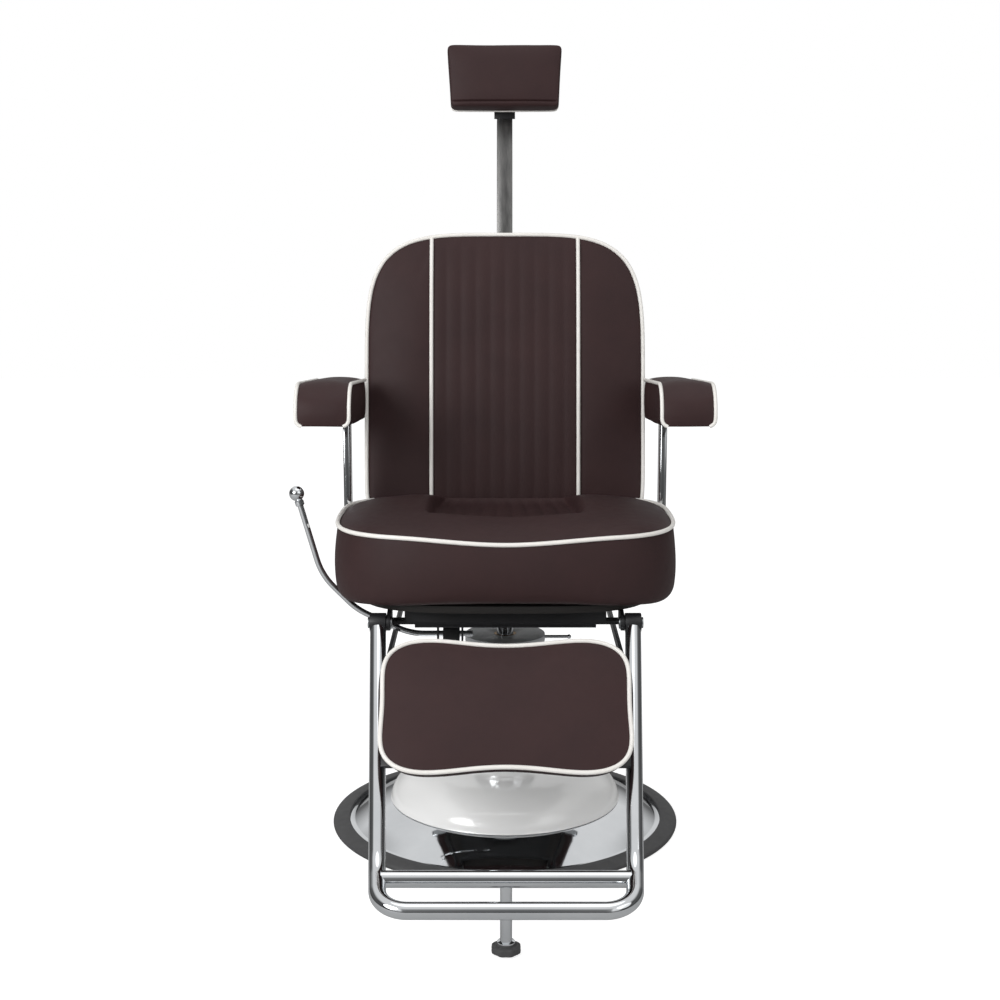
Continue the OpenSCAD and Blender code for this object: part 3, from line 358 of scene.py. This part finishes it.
legs = dict(x=0.207, y=0.25, z=0.428, lean=43, run=0.415, foot=0.096, slope=16.5, toe=0.015, footToe=0.007,
            radius=0.013, kneeBend=0.09, cornerBend=0.046, crossAt=0.27, crossCut=0.006, rodInset=0.004,
            footFlats=8, flatDepth=0.07, start=0.011)
sinLean, cosLean = math.sin(math.radians(legs["lean"])), math.cos(math.radians(legs["lean"]))
pivot = Vector((legs["x"], -legs["y"], legs["z"]))
knee = pivot + Vector((-legs["toe"], -legs["run"] * sinLean, -legs["run"] * cosLean))
slope = math.radians(legs["slope"])
corner = knee + Vector((-legs["footToe"], -legs["foot"] * math.cos(slope), -legs["foot"] * math.sin(slope)))
top = pivot + (knee - pivot).normalized() * legs["start"]
flip = Vector((-1, 1, 1))
legPath = [top, knee, corner, corner * flip, knee * flip, top * flip]
legBends = [legs["kneeBend"], legs["cornerBend"], legs["cornerBend"], legs["kneeBend"]]
legTube = bentTube("footrestTube", legPath, legs["radius"], legBends)
finishPiece(legTube, made["chromePlate"], "chrome", "footrest", "leg_tube_left", "leg_tube_right", "leg_front_bar")
cross = knee.lerp(corner, legs["crossAt"])
crossEnd = Vector((legs["crossCut"], 0, 0))
crossbar = bentTube("footrestCrossbar", [cross * flip + crossEnd, cross - crossEnd], legs["radius"], [])
finishPiece(crossbar, made["chromePlate"], "chrome", "footrest", "leg_crossbar")
rodTop = cross.z - legs["rodInset"]
rodOutline = [(0.0, 0.017), (0.0135, 0.017), (0.0135, 0.02), (0.009, 0.0215), (0.009, rodTop), (0.0, rodTop)]
stabiliser = turnProfile("stabiliserRod", rodOutline, 40, (0, cross.y, 0))
finishPiece(stabiliser, made["chromePlate"], "chrome", "footrest", "stabiliser_rod")
footOutline = [(0.0, 0.003), (0.0205, 0.003), (0.0225, 0.0045), (0.023, 0.008), (0.0225, 0.0125), (0.0205, 0.0142),
               (0.0145, 0.015), (0.014, 0.018), (0.0, 0.018)]
rubberFoot = turnProfile("stabiliserFoot", footOutline, 64, (0, cross.y, 0))
for vertex in rubberFoot.data.vertices:  # soft flats moulded round the foot
    dx, dy = vertex.co.x, vertex.co.y - cross.y
    wave = 0.5 + 0.5 * math.cos(legs["footFlats"] * math.atan2(dy, dx))
    flat = 1 - legs["flatDepth"] * wave * smoothstep(0.015, 0.02, math.hypot(dx, dy))
    vertex.co.x, vertex.co.y = dx * flat, cross.y + dy * flat
finishPiece(rubberFoot, made["mouldedRubber"], "rubber_black", "footrest", "stabiliser_foot")

lever = dict(y=-0.15, z=0.384, radius=0.005, bend=0.11, ball=0.0125,
             path=[(-0.055, 0), (-0.16, 0), (-0.25, 0.042), (-0.308, 0.101), (-0.344, 0.228)])
leverPath = [Vector((x, lever["y"], lever["z"] + z)) for x, z in lever["path"]]
leverRod = bentTube("leverRod", leverPath, lever["radius"], [lever["bend"]] * 3, sides=24, stepDegrees=3)
finishPiece(leverRod, made["chromePlate"], "chrome", "lever", "lever_rod")
knobAxis = (leverPath[-1] - leverPath[-2]).normalized()
knobOutline = [(0.0, -0.009), (0.0062, -0.009), (0.0075, -0.0078), (0.0075, -0.001), (0.0058, 0.0006)]
knobOutline += arcPoints(0, 0.012, lever["ball"], lever["ball"], -62, 90, 26)
leverBall = turnProfile("leverBall", knobOutline, 48)
knobTurn = knobAxis.to_track_quat("Z", "Y").to_matrix().to_4x4()
leverBall.data.transform(Matrix.Translation(leverPath[-1]) @ knobTurn)
finishPiece(leverBall, made["chromePlate"], "chrome", "lever", "lever_ball")
print("tubes bent")


def roundedPoint(u, v, hx, hy, n):  # a square grid drawn into a rounded outline; n is how square the corners are
    return u * hx * (1 - abs(v) ** n / 2) ** (1 / n), v * hy * (1 - abs(u) ** n / 2) ** (1 / n)


def spread(low, high, count):
    return [low + (high - low) * i / count for i in range(count + 1)]


def panelLines(half, count, panel, inner=6, sides=12):
    edge = [-1 + (1 - panel / half) * math.sin(math.pi / 2 * i / sides) for i in range(sides)]
    middle = spread(-panel / half, panel / half, inner * count)
    return edge + middle + [-e for e in reversed(edge)]


def denseEnds(count):  # rows that crowd towards both ends
    return [0.35 * t + 0.65 * math.sin(t * math.pi / 2) for t in spread(-1, 1, count)]


def sewCushion(name, us, vs, top, rings):
    # top(u, v) gives the upper face; each ring(u, v) places its edge again, lower down
    obj = addPrimitive("grid", name, x_subdivisions=len(us) - 1, y_subdivisions=len(vs) - 1, size=2)
    places = {}
    for vertex in obj.data.vertices:
        u = us[round((vertex.co.x + 1) / 2 * (len(us) - 1))]
        v = vs[round((vertex.co.y + 1) / 2 * (len(vs) - 1))]
        vertex.co = top(u, v)
        if abs(u) == 1 or abs(v) == 1:
            places[vertex.index] = (u, v)
    near = {tuple(round(c, 6) for c in obj.data.vertices[i].co): places[i] for i in places}
    makeActive(obj)
    bpy.ops.object.mode_set(mode="EDIT")
    bpy.ops.mesh.select_all(action="DESELECT")
    bpy.ops.mesh.select_non_manifold()
    for ring in rings:
        bpy.ops.mesh.extrude_region_move()
        bpy.ops.object.mode_set(mode="OBJECT")
        moved = {}
        for vertex in obj.data.vertices:
            if vertex.select:
                u, v = near[tuple(round(c, 6) for c in vertex.co)]
                vertex.co = ring(u, v)
                moved[tuple(round(c, 6) for c in vertex.co)] = (u, v)
        near = moved
        bpy.ops.object.mode_set(mode="EDIT")
    bpy.ops.object.mode_set(mode="OBJECT")
    return obj


def puff(obj, pin, pressure, cap, frames=20):  # cloth held at the seams swells between them
    group = obj.vertex_groups.new(name="seams")
    for vertex in obj.data.vertices:
        weight = pin(vertex.co)
        if weight > 0:
            group.add([vertex.index], min(1, weight), "REPLACE")
    rest = [vertex.co.copy() for vertex in obj.data.vertices]
    makeActive(obj)
    cloth = obj.modifiers.new("Cloth", "CLOTH")
    cloth.settings.use_pressure = True
    cloth.settings.uniform_pressure_force = pressure
    cloth.settings.effector_weights.gravity = 0
    cloth.settings.vertex_group_mass = group.name
    cloth.settings.quality = 4
    cloth.collision_settings.use_collision = False
    cloth.point_cache.frame_start, cloth.point_cache.frame_end = 1, frames
    for step in range(1, frames + 1):
        bpy.context.scene.frame_set(step)
    bpy.ops.object.modifier_apply(modifier=cloth.name)
    bpy.context.scene.frame_set(1)
    for vertex, old in zip(obj.data.vertices, rest):
        move = vertex.co - old
        if move.length > 1e-9:
            vertex.co = old + move.normalized() * cap * math.tanh(move.length / cap)
    obj.vertex_groups.clear()


def sag(obj, amount=0.0006, size=0.07):  # slack in the hide, so that no panel is perfectly even
    normals = [vertex.normal.copy() for vertex in obj.data.vertices]
    for vertex, normal in zip(obj.data.vertices, normals):
        vertex.co += normal * amount * noise.noise(vertex.co / size)


def welt(name, points, radius, body, closed=False):  # piping cord along a seam
    obj = addPrimitive("circle", name, vertices=len(points), radius=1)
    for vertex, point in zip(obj.data.vertices, points):
        vertex.co = point
    if not closed:
        makeActive(obj)
        last = len(points) - 1
        bpy.ops.object.mode_set(mode="EDIT")
        bpy.ops.mesh.select_mode(type="EDGE")
        bpy.ops.mesh.select_all(action="DESELECT")
        bpy.ops.object.mode_set(mode="OBJECT")
        for edge in obj.data.edges:
            edge.select = set(edge.vertices) == {0, last}
        bpy.ops.object.mode_set(mode="EDIT")
        bpy.ops.mesh.delete(type="EDGE")
        bpy.ops.mesh.select_mode(type="VERT")
        bpy.ops.object.mode_set(mode="OBJECT")
    makeActive(obj)
    bpy.ops.object.convert(target="CURVE")
    obj = bpy.context.object
    obj.data.bevel_depth = radius
    obj.data.bevel_resolution = 3
    obj.data.use_fill_caps = True
    bpy.ops.object.convert(target="MESH")
    obj = bpy.context.object
    obj.name = name
    tidyNormals(obj)
    smoothByAngle(obj, 60)
    finishPiece(obj, made["whiteVinyl"], "white_cover", body)


def finishCushion(obj, body, fill, *replaced):
    applyModifier(obj, "SUBSURF", levels=1, render_levels=1)
    sag(obj)
    editAll(obj)
    bpy.ops.mesh.select_all(action="DESELECT")
    bpy.ops.mesh.select_non_manifold()
    bpy.ops.mesh.edge_face_add()  # the flat underside
    bpy.ops.object.mode_set(mode="OBJECT")
    bpy.ops.object.shade_smooth()
    finishPiece(obj, made["brownHide"], "leather_brown", body, *replaced)


def groove(x, half, count):  # 0 on a channel's crown, 1 on its stitch line
    if abs(x) > half + 1e-6:
        return 0
    return 1 - abs(math.sin(math.pi / 2 * (x + half) * count / half))


def ringPoints(us, vs, place):  # the outline's points in order, without repeats
    rim = [(u, vs[0]) for u in us] + [(us[-1], v) for v in vs[1:]]
    rim += [(u, vs[-1]) for u in reversed(us[:-1])] + [(us[0], v) for v in reversed(vs[1:-1])]
    return [place(u, v) for u, v in rim]


# seat: a bowed front, a bolster round three sides and a recessed, channelled middle
seat = dict(hx=0.281, hy=0.223, y=-0.074, z=0.458, side=0.108, crown=0.013, recess=0.023, panel=0.126, channels=9,
            groove=0.0032, panelStart=-0.12, bolster=0.004, bolsterIn=0.035, front=3.5, rear=4.2, bulge=0.0065,
            tuck=0.014, tuckFrom=0.14, lift=0.0095, arch=0.01, droop=0.006, welt=0.0036, weltOut=0.001)


def seatOutline(u, v, grow=0):
    return roundedPoint(u, v, seat["hx"] + grow, seat["hy"] + grow, seat["front"] if v < 0 else seat["rear"])


def seatLift(x, v):  # the seam climbs from the middle of the front to the sides
    return seat["lift"] * smoothstep(0, 0.18, abs(x)) * smoothstep(1.2, -0.2, v)


def seatTop(u, v):
    x, y = seatOutline(u, v)
    edge = max(abs(u), abs(v))
    height = seat["side"] + seat["crown"] * (1 - edge ** 5) + seatLift(x, v)
    across = u * seat["hx"]
    inside = smoothstep(seat["panel"] + 0.006, seat["panel"] - 0.002, abs(across))
    inside *= smoothstep(-0.08, 0.06, v - seat["panelStart"])
    stitched = seat["groove"] * groove(across, seat["panel"], seat["channels"])
    height -= inside * (seat["recess"] + stitched) * (1 - edge ** 10)
    swell = math.exp(-((abs(across) - seat["panel"] - seat["bolsterIn"]) / 0.03) ** 2)
    height += seat["bolster"] * swell * smoothstep(-0.1, 0.3, v) * (1 - edge ** 6)
    return Vector((x, y + seat["y"], seat["z"] + height))


def seatRing(h):
    def place(u, v):
        low = max(0, 1 - h / seat["tuckFrom"])  # the lower edge turns under
        grow = seat["bulge"] * math.sin(math.pi * h ** 0.8) - seat["tuck"] * (1 - math.sqrt(1 - low * low))
        x, y = seatOutline(u, v, grow)
        sole = seat["arch"] * smoothstep(0.24, 0.06, abs(x)) * smoothstep(0, -0.6, v)
        sole -= seat["droop"] * smoothstep(0.2, 0.28, abs(x)) * (1 if h > 0 else 0)
        return Vector((x, y + seat["y"], seat["z"] + sole * (1 - h) + (seat["side"] + seatLift(x, v)) * h))
    return place


seatUs = panelLines(seat["hx"], seat["channels"], seat["panel"])
seatVs = denseEnds(56)
seatRings = [seatRing(h) for h in (0.9, 0.78, 0.66, 0.54, 0.42, 0.3, 0.2, 0.13, 0.07, 0.03, 0.01, 0)]
seatPad = sewCushion("seatCushion", seatUs, seatVs, seatTop, seatRings)


def seatPin(co):
    x, y = co.x / seat["hx"], (co.y - seat["y"]) / seat["hy"]
    n = seat["front"] if y < 0 else seat["rear"]
    rim = (abs(x) ** n + abs(y) ** n) ** (1 / n)
    seam = seat["z"] + seat["side"] + seatLift(co.x, y)
    if co.z < seat["z"] + 0.014 or (abs(co.z - seam) < 0.0025 and rim > 0.985):
        return 1
    if rim < 0.93 and y > seat["panelStart"] - 0.02 and abs(co.x) < seat["panel"] + 0.004 and co.z > seam - 0.03:
        return 1 if groove(co.x, seat["panel"], seat["channels"]) > 0.9 else 0.25
    return 0


puff(seatPad, seatPin, pressure=4, cap=0.007)
finishCushion(seatPad, "seat", 0.9, "seat_cushion")
seatRim = [(1, v) for v in reversed(seatVs)] + [(u, -1) for u in reversed(seatUs[1:-1])] + [(-1, v) for v in seatVs]
seatSeam = [seatTop(u, v) + Vector((u, v, 0)).normalized() * seat["weltOut"] for u, v in seatRim]
welt("seatPiping", seatSeam, seat["welt"], "seat")
print("seat sewn")

# back: straight sides, an arched top and a channelled middle between two welts
back = dict(hx=0.258, hy=0.2705, side=0.058, crown=0.018, panel=0.137, channels=10, top=4.2, low=12, y=0.235,
            z=0.5, lean=11, bulge=0.004, tuck=0.004, welt=0.0036, weltOut=0.001, weltRise=0.0035, groove=0.0014)
onBack = Matrix.Translation((0, back["y"], back["z"])) @ Matrix.Rotation(math.radians(-back["lean"]), 4, "X")
onBackPad = onBack @ Matrix.Translation((0, 0, back["hy"])) @ Matrix.Rotation(math.radians(90), 4, "X")


def backOutline(u, v, grow=0):  # columns inside the channelled middle stay straight up to the edge
    hx, hy, n = back["hx"] + grow, back["hy"] + grow, back["top"] if v > 0 else back["low"]
    straight = back["panel"] / back["hx"]
    share = max(0, abs(u) - straight) / (1 - straight)
    across = [min(abs(u), straight) + share * ((1 - abs(row) ** n / 2) ** (1 / n) - straight) for row in (v, 1)]
    return math.copysign(hx * across[0], u), v * hy * (1 - across[1] ** n) ** (1 / n)


def backTop(u, v):
    x, y = backOutline(u, v)
    height = back["side"] + back["crown"] * (1 - abs(u) ** 4) * (1 - abs(v) ** 4)
    height -= back["groove"] * groove(u * back["hx"], back["panel"], back["channels"]) * (1 - abs(v) ** 8)
    return Vector((x, y, height))


def backRing(h):
    def place(u, v):
        x, y = backOutline(u, v, back["bulge"] * math.sin(math.pi * h) - back["tuck"] * (1 - h))
        return Vector((x, y, back["side"] * h))
    return place


backUs = panelLines(back["hx"], back["channels"], back["panel"])
backVs = denseEnds(56)
backRings = [backRing(h) for h in (0.85, 0.7, 0.55, 0.4, 0.25, 0.1, 0)]
backPad = sewCushion("backCushion", backUs, backVs, backTop, backRings)


def backPin(co):
    x, y = co.x / back["hx"], co.y / back["hy"]
    n = back["top"] if y > 0 else back["low"]
    rim = (abs(x) ** n + abs(y) ** n) ** (1 / n)
    if co.z < 0.004 or (rim > 0.985 and abs(co.z - back["side"]) < 0.0015):
        return 1
    if co.z > back["side"] - 0.004 and abs(co.x) < back["panel"] + 0.002:
        return 1 if groove(co.x, back["panel"], back["channels"]) > 0.9 else 0.2
    return 0


puff(backPad, backPin, pressure=4, cap=0.007)
backPad.data.transform(onBackPad)
finishCushion(backPad, "back", 0.9, "back_cushion")
backSeam = ringPoints(backUs, backVs, lambda u, v: backTop(u, v) + Vector((u, v, 0)).normalized() * back["weltOut"])
welt("backEdgePiping", [onBackPad @ p for p in backSeam], back["welt"], "back", closed=True)
for sideName, sign in (("Left", -1), ("Right", 1)):
    line = []
    for v in spread(-1, 1, 90):
        rise = Vector((0, 0, back["weltRise"] * (1 - abs(v) ** 30)))
        line.append(onBackPad @ (backTop(sign * back["panel"] / back["hx"], v) + rise))
    welt("backPiping" + sideName, line, back["welt"], "back")
print("back sewn")

# headrest: a shallow slab, a little narrower below, over a rolled lip
head = dict(hx=0.107, hy=0.058, side=0.042, crown=0.008, square=22, taper=(0.965, 0.03, 0.007), y=-0.004, z=0.846,
            lip=-0.84, roll=0.003, crease=0.0035, bulge=0.003, tuck=0.002, welt=0.002, weltAt=0.12, weltOut=0.0008)
onHeadPad = onBack @ Matrix.Translation((0, head["y"], head["z"])) @ Matrix.Rotation(math.radians(90), 4, "X")


def headOutline(u, v, grow=0):
    x, y = roundedPoint(u, v, head["hx"] + grow, head["hy"] + grow, head["square"])
    level, slant, curve = head["taper"]
    return x * (level + slant * v + curve * v * v), y


def headTop(u, v):
    x, y = headOutline(u, v)
    height = head["side"] + head["crown"] * (1 - abs(u) ** 4) * (1 - abs(v) ** 4)
    height += head["roll"] * math.exp(-((v - head["lip"] + 0.09) / 0.07) ** 2) * (1 - abs(u) ** 8)
    height -= head["crease"] * math.exp(-((v - head["lip"]) / 0.02) ** 2) * (1 - abs(u) ** 20)
    return Vector((x, y, height))


def headRing(h):
    def place(u, v):
        x, y = headOutline(u, v, head["bulge"] * math.sin(math.pi * h) - head["tuck"] * (1 - h))
        return Vector((x, y, head["side"] * h))
    return place


headUs = denseEnds(40)
headVs = sorted(set(denseEnds(28) + spread(head["lip"] - 0.06, head["lip"] + 0.06, 8)))
headRings = [headRing(h) for h in (0.93, 0.8, 0.6, 0.4, 0.2, 0)]
headPad = sewCushion("headrestPad", headUs, headVs, headTop, headRings)


def headPin(co):
    onLip = abs(co.y / head["hy"] - head["lip"]) < 0.025 and co.z > 0.03
    return 1 if co.z < 0.003 or onLip else 0.15


puff(headPad, headPin, pressure=3, cap=0.003)
headPad.data.transform(onHeadPad)
finishCushion(headPad, "headrest", 0.95, "headrest_pad")
headSeam = ringPoints(headUs, headVs, headRing(head["weltAt"]))
headSeam = [onHeadPad @ (p + Vector((p.x, p.y, 0)).normalized() * head["weltOut"]) for p in headSeam]
welt("headrestPiping", headSeam, head["welt"], "headrest", closed=True)
print("headrest sewn")

# leg pad: an hourglass outline with a welt all round
legPad = dict(hx=0.1955, hy=0.117, side=0.028, crown=0.009, square=4.5, bow=0.015, waist=0.13, y=-0.023, drop=0.056,
              bulge=0.002, tuck=0.004, welt=0.0036, weltOut=0.0012)
onLeg = Matrix.Translation((0, -legs["y"], legs["z"])) @ Matrix.Rotation(math.radians(-legs["lean"]), 4, "X")
onLegPad = onLeg @ Matrix.Translation((0, legPad["y"], -legPad["drop"] - legPad["hy"]))
onLegPad = onLegPad @ Matrix.Rotation(math.radians(90), 4, "X")


def legOutline(u, v, grow=0):
    hx, hy = legPad["hx"] + grow, legPad["hy"] + grow
    x, y = roundedPoint(u, v, hx, hy, legPad["square"])
    s, t = x / hx, y / hy
    x *= 1 - legPad["bow"] * (1 + math.cos(math.pi * t))
    y *= 1 - legPad["waist"] * (1 + math.cos(math.pi * min(1, abs(s) * 1.15))) / 2
    return x, y


def legTop(u, v):
    x, y = legOutline(u, v)
    return Vector((x, y, legPad["side"] + legPad["crown"] * (1 - abs(u) ** 4) * (1 - abs(v) ** 4)))


def legRing(h):
    def place(u, v):
        x, y = legOutline(u, v, legPad["bulge"] * math.sin(math.pi * h) - legPad["tuck"] * (1 - h))
        return Vector((x, y, legPad["side"] * h))
    return place


legUs, legVs = denseEnds(48), denseEnds(30)
legRings = [legRing(h) for h in (0.75, 0.5, 0.25, 0)]
calfPad = sewCushion("legPad", legUs, legVs, legTop, legRings)
puff(calfPad, lambda co: 1 if co.z < legPad["side"] + 0.0008 else 0, pressure=4, cap=0.004)
calfPad.data.transform(onLegPad)
finishCushion(calfPad, "footrest", 0.9, "leg_pad")
legSeam = ringPoints(legUs, legVs, lambda u, v: legTop(u, v) + Vector((u, v, 0)).normalized() * legPad["weltOut"])
welt("legPadPiping", [onLegPad @ p for p in legSeam], legPad["welt"], "footrest", closed=True)
print("leg pad sewn")

# arms: one panel runs over the top and down the front, with a welt along both of its edges
arm = dict(x=0.303, y=0.018, z=0.717, slope=4.5, plate=0.005, hx=0.0435, hy=0.168, height=0.07, crown=0.006,
           nose=2.3, noseDepth=0.055, noseTuck=0.22, frontBow=0.005, sideBow=0.0035, welt=0.0032,
           weltShift=(0.0008, 0.0004), cuts=31)


def armPoint(a, b, c):  # across, along and up in -1..1; the front top is rounded over
    n, noseDepth = arm["nose"], arm["noseDepth"]
    y, z = b * arm["hy"], (c + 1) / 2 * arm["height"]
    if y < noseDepth - arm["hy"] and z > arm["height"] - noseDepth:
        p, q = 1 - (y + arm["hy"]) / noseDepth, 1 - (arm["height"] - z) / noseDepth
        p, q = p * (1 - q ** n / 2) ** (1 / n), q * (1 - p ** n / 2) ** (1 / n)
        y, z = noseDepth - arm["hy"] - p * noseDepth, arm["height"] - noseDepth + q * noseDepth
    z += arm["crown"] * (1 - abs(a) ** 3) * max(0, c) ** 4 * smoothstep(-1.02, -0.7, b)
    y -= arm["frontBow"] * (1 - abs(a) ** 3) * max(0, -b) ** 12 * (1 - abs(c) ** 4)
    halfWidth = arm["hx"] + arm["sideBow"] * (1 - abs(c) ** 4) * (1 - b ** 12) * abs(a) ** 6
    x = a * halfWidth * (1 - arm["noseTuck"] * max(0, -c) ** 9 * smoothstep(0.3, 1, -b))
    return Vector((x, y, z))


def armPin(co):
    onSide = abs(abs(co.x) - arm["hx"]) < 0.0006
    return 1 if co.z < 0.004 or (onSide and (co.z > arm["height"] * 0.93 or co.y < -0.1)) else 0


for armName, sign in (("Left", -1), ("Right", 1)):
    onArm = Matrix.Translation((sign * arm["x"], arm["y"], arm["z"]))
    onArm = onArm @ Matrix.Rotation(math.radians(-arm["slope"]), 4, "X")
    onArm = onArm @ Matrix.Translation((0, 0, arm["plate"]))
    pad = addPrimitive("cube", "armPad" + armName, size=2)
    editAll(pad)
    bpy.ops.mesh.subdivide(number_cuts=arm["cuts"])
    bpy.ops.object.mode_set(mode="OBJECT")
    for vertex in pad.data.vertices:
        vertex.co = armPoint(*vertex.co)
    tidyNormals(pad)
    puff(pad, armPin, pressure=4, cap=0.004)
    pad.data.transform(onArm)
    finishCushion(pad, "seat", 0.9, "arm_pad_" + armName.lower())
    for edgeName, edge in (("In", -sign), ("Out", sign)):
        path = [armPoint(edge, b, 1) for b in spread(1, -1, 60)]
        path += [armPoint(edge, -1, c) for c in spread(1, -1, 24)][1:]
        shift = Vector((edge * arm["weltShift"][0], 0, arm["weltShift"][1]))
        path = [onArm @ (p + shift) for p in path]
        welt("armPiping" + armName + edgeName, path, arm["welt"], "seat")
print("arms sewn")


def seenDirectly(tree, rays):  # 1 for what the camera sees, also through glass
    return addNode(tree, "Math", {"operation": "MAXIMUM"},
                   {0: rays.outputs["Is Camera Ray"], 1: rays.outputs["Is Transmission Ray"]}).outputs[0]


floorLook = dict(size=16, lift=0.8, shade=0.56)
floor = addPrimitive("plane", "studioFloor", size=floorLook["size"])
floorFinish = bpy.data.materials.new("paintedStudioFloor")  # matt white paint that still takes the chair's shadow
floorFinish.use_nodes = True
tree = floorFinish.node_tree
tree.nodes.clear()
rays = addNode(tree, "LightPath")
lift = addNode(tree, "Math", {"operation": "MULTIPLY", 1: floorLook["lift"]}, {0: seenDirectly(tree, rays)})
glow = addNode(tree, "Emission", {"Color": (1, 1, 1, 1)}, {"Strength": lift.outputs[0]})
matt = addNode(tree, "BsdfDiffuse", {"Color": [floorLook["shade"]] * 3 + [1]})
both = addNode(tree, "AddShader", None, {0: glow.outputs[0], 1: matt.outputs[0]})
addNode(tree, "OutputMaterial", None, {"Surface": both.outputs[0]})
floor.data.materials.append(floorFinish)

world = bpy.data.worlds.new("studio")
bpy.context.scene.world = world
world.use_nodes = True
tree = world.node_tree
tree.nodes.clear()
rays = addNode(tree, "LightPath")
direction = addNode(tree, "SeparateXYZ", None, {0: addNode(tree, "TexCoord").outputs["Generated"]})
spot = addNode(tree, "MapRange", {"From Min": -1, "From Max": 1}, {"Value": direction.outputs["X"]})


def studioRamp(stops):
    ramp = addNode(tree, "ValToRGB", None, {0: spot.outputs[0]})
    ramp.color_ramp.interpolation = "EASE"
    while len(ramp.color_ramp.elements) < len(stops):
        ramp.color_ramp.elements.new(0.5)
    for element, (position, level) in zip(ramp.color_ramp.elements, stops):
        element.position, element.color = position, (level, level, level, 1)
    return ramp.outputs[0]


frontRoom = studioRamp([(0, 0.1), (0.14, 0.05), (0.2, 0.9), (0.33, 1.0), (0.4, 0.25), (0.52, 0.18), (0.62, 0.3),
                        (0.68, 1.0), (0.78, 0.9), (0.86, 0.06), (1, 0.12)])
backRoom = studioRamp([(0, 0.1), (0.12, 0.12), (0.26, 0.8), (0.74, 0.8), (0.88, 0.12), (1, 0.1)])
rearward = addNode(tree, "MapRange", {"From Min": -0.08, "From Max": 0.08}, {"Value": direction.outputs["Y"]})
room = addNode(tree, "Mix", {"data_type": "RGBA"}, {0: rearward.outputs[0], 6: frontRoom, 7: backRoom})
rise = addNode(tree, "MapRange", {"From Min": 0.06, "From Max": 0.36, "To Min": 0.1, "To Max": 1},
               {"Value": direction.outputs["Z"]})
room = addNode(tree, "Mix", {"data_type": "RGBA", 6: (0.07, 0.07, 0.07, 1)}, {0: rise.outputs[0], 7: room.outputs[2]})
overhead = addNode(tree, "MapRange", {"From Min": 0.55, "From Max": 0.8}, {"Value": direction.outputs["Z"]})
room = addNode(tree, "Mix", {"data_type": "RGBA", 7: (0.85, 0.85, 0.85, 1)},
               {0: overhead.outputs[0], 6: room.outputs[2]})
sky = addNode(tree, "MapRange", {"From Min": 0, "From Max": 1, "To Min": 0.92, "To Max": 0.25},
              {"Value": direction.outputs["Z"]})
plain = addNode(tree, "Mix", {"data_type": "RGBA"},
                {0: rays.outputs["Is Glossy Ray"], 6: sky.outputs[0], 7: room.outputs[2]})
final = addNode(tree, "Mix", {"data_type": "RGBA", 7: (1, 1, 1, 1)}, {0: seenDirectly(tree, rays), 6: plain.outputs[2]})
background = addNode(tree, "Background", {"Strength": 1}, {"Color": final.outputs[2]})
addNode(tree, "OutputWorld", None, {"Surface": background.outputs[0]})

lamps = dict(key=dict(place=(-2.2, -2.5, 1.9), size=2.0, power=66),
             fill=dict(place=(2.2, -2.0, 1.9), size=2.0, power=10),
             top=dict(place=(0.1, -0.4, 3.4), size=2.4, power=12))
aim = Vector((0, -0.1, 0.6))
for lampName, lamp in lamps.items():
    bpy.ops.object.light_add(type="AREA", location=lamp["place"])
    light = bpy.context.object
    light.name = lampName + "Light"
    light.data.shape, light.data.size, light.data.energy = "DISK", lamp["size"], lamp["power"]
    light.rotation_euler = (aim - Vector(lamp["place"])).to_track_quat("-Z", "Y").to_euler()

view = dict(place=(-0.009, -2.856, 1.085), pitch=9.9, lens=59.4)
bpy.ops.object.camera_add(location=view["place"], rotation=(math.radians(90 - view["pitch"]), 0, 0))
camera = bpy.context.object
camera.data.lens, camera.data.sensor_width = view["lens"], 36
bpy.context.scene.camera = camera
bpy.context.scene.view_settings.view_transform = "Standard"
print("studio set")
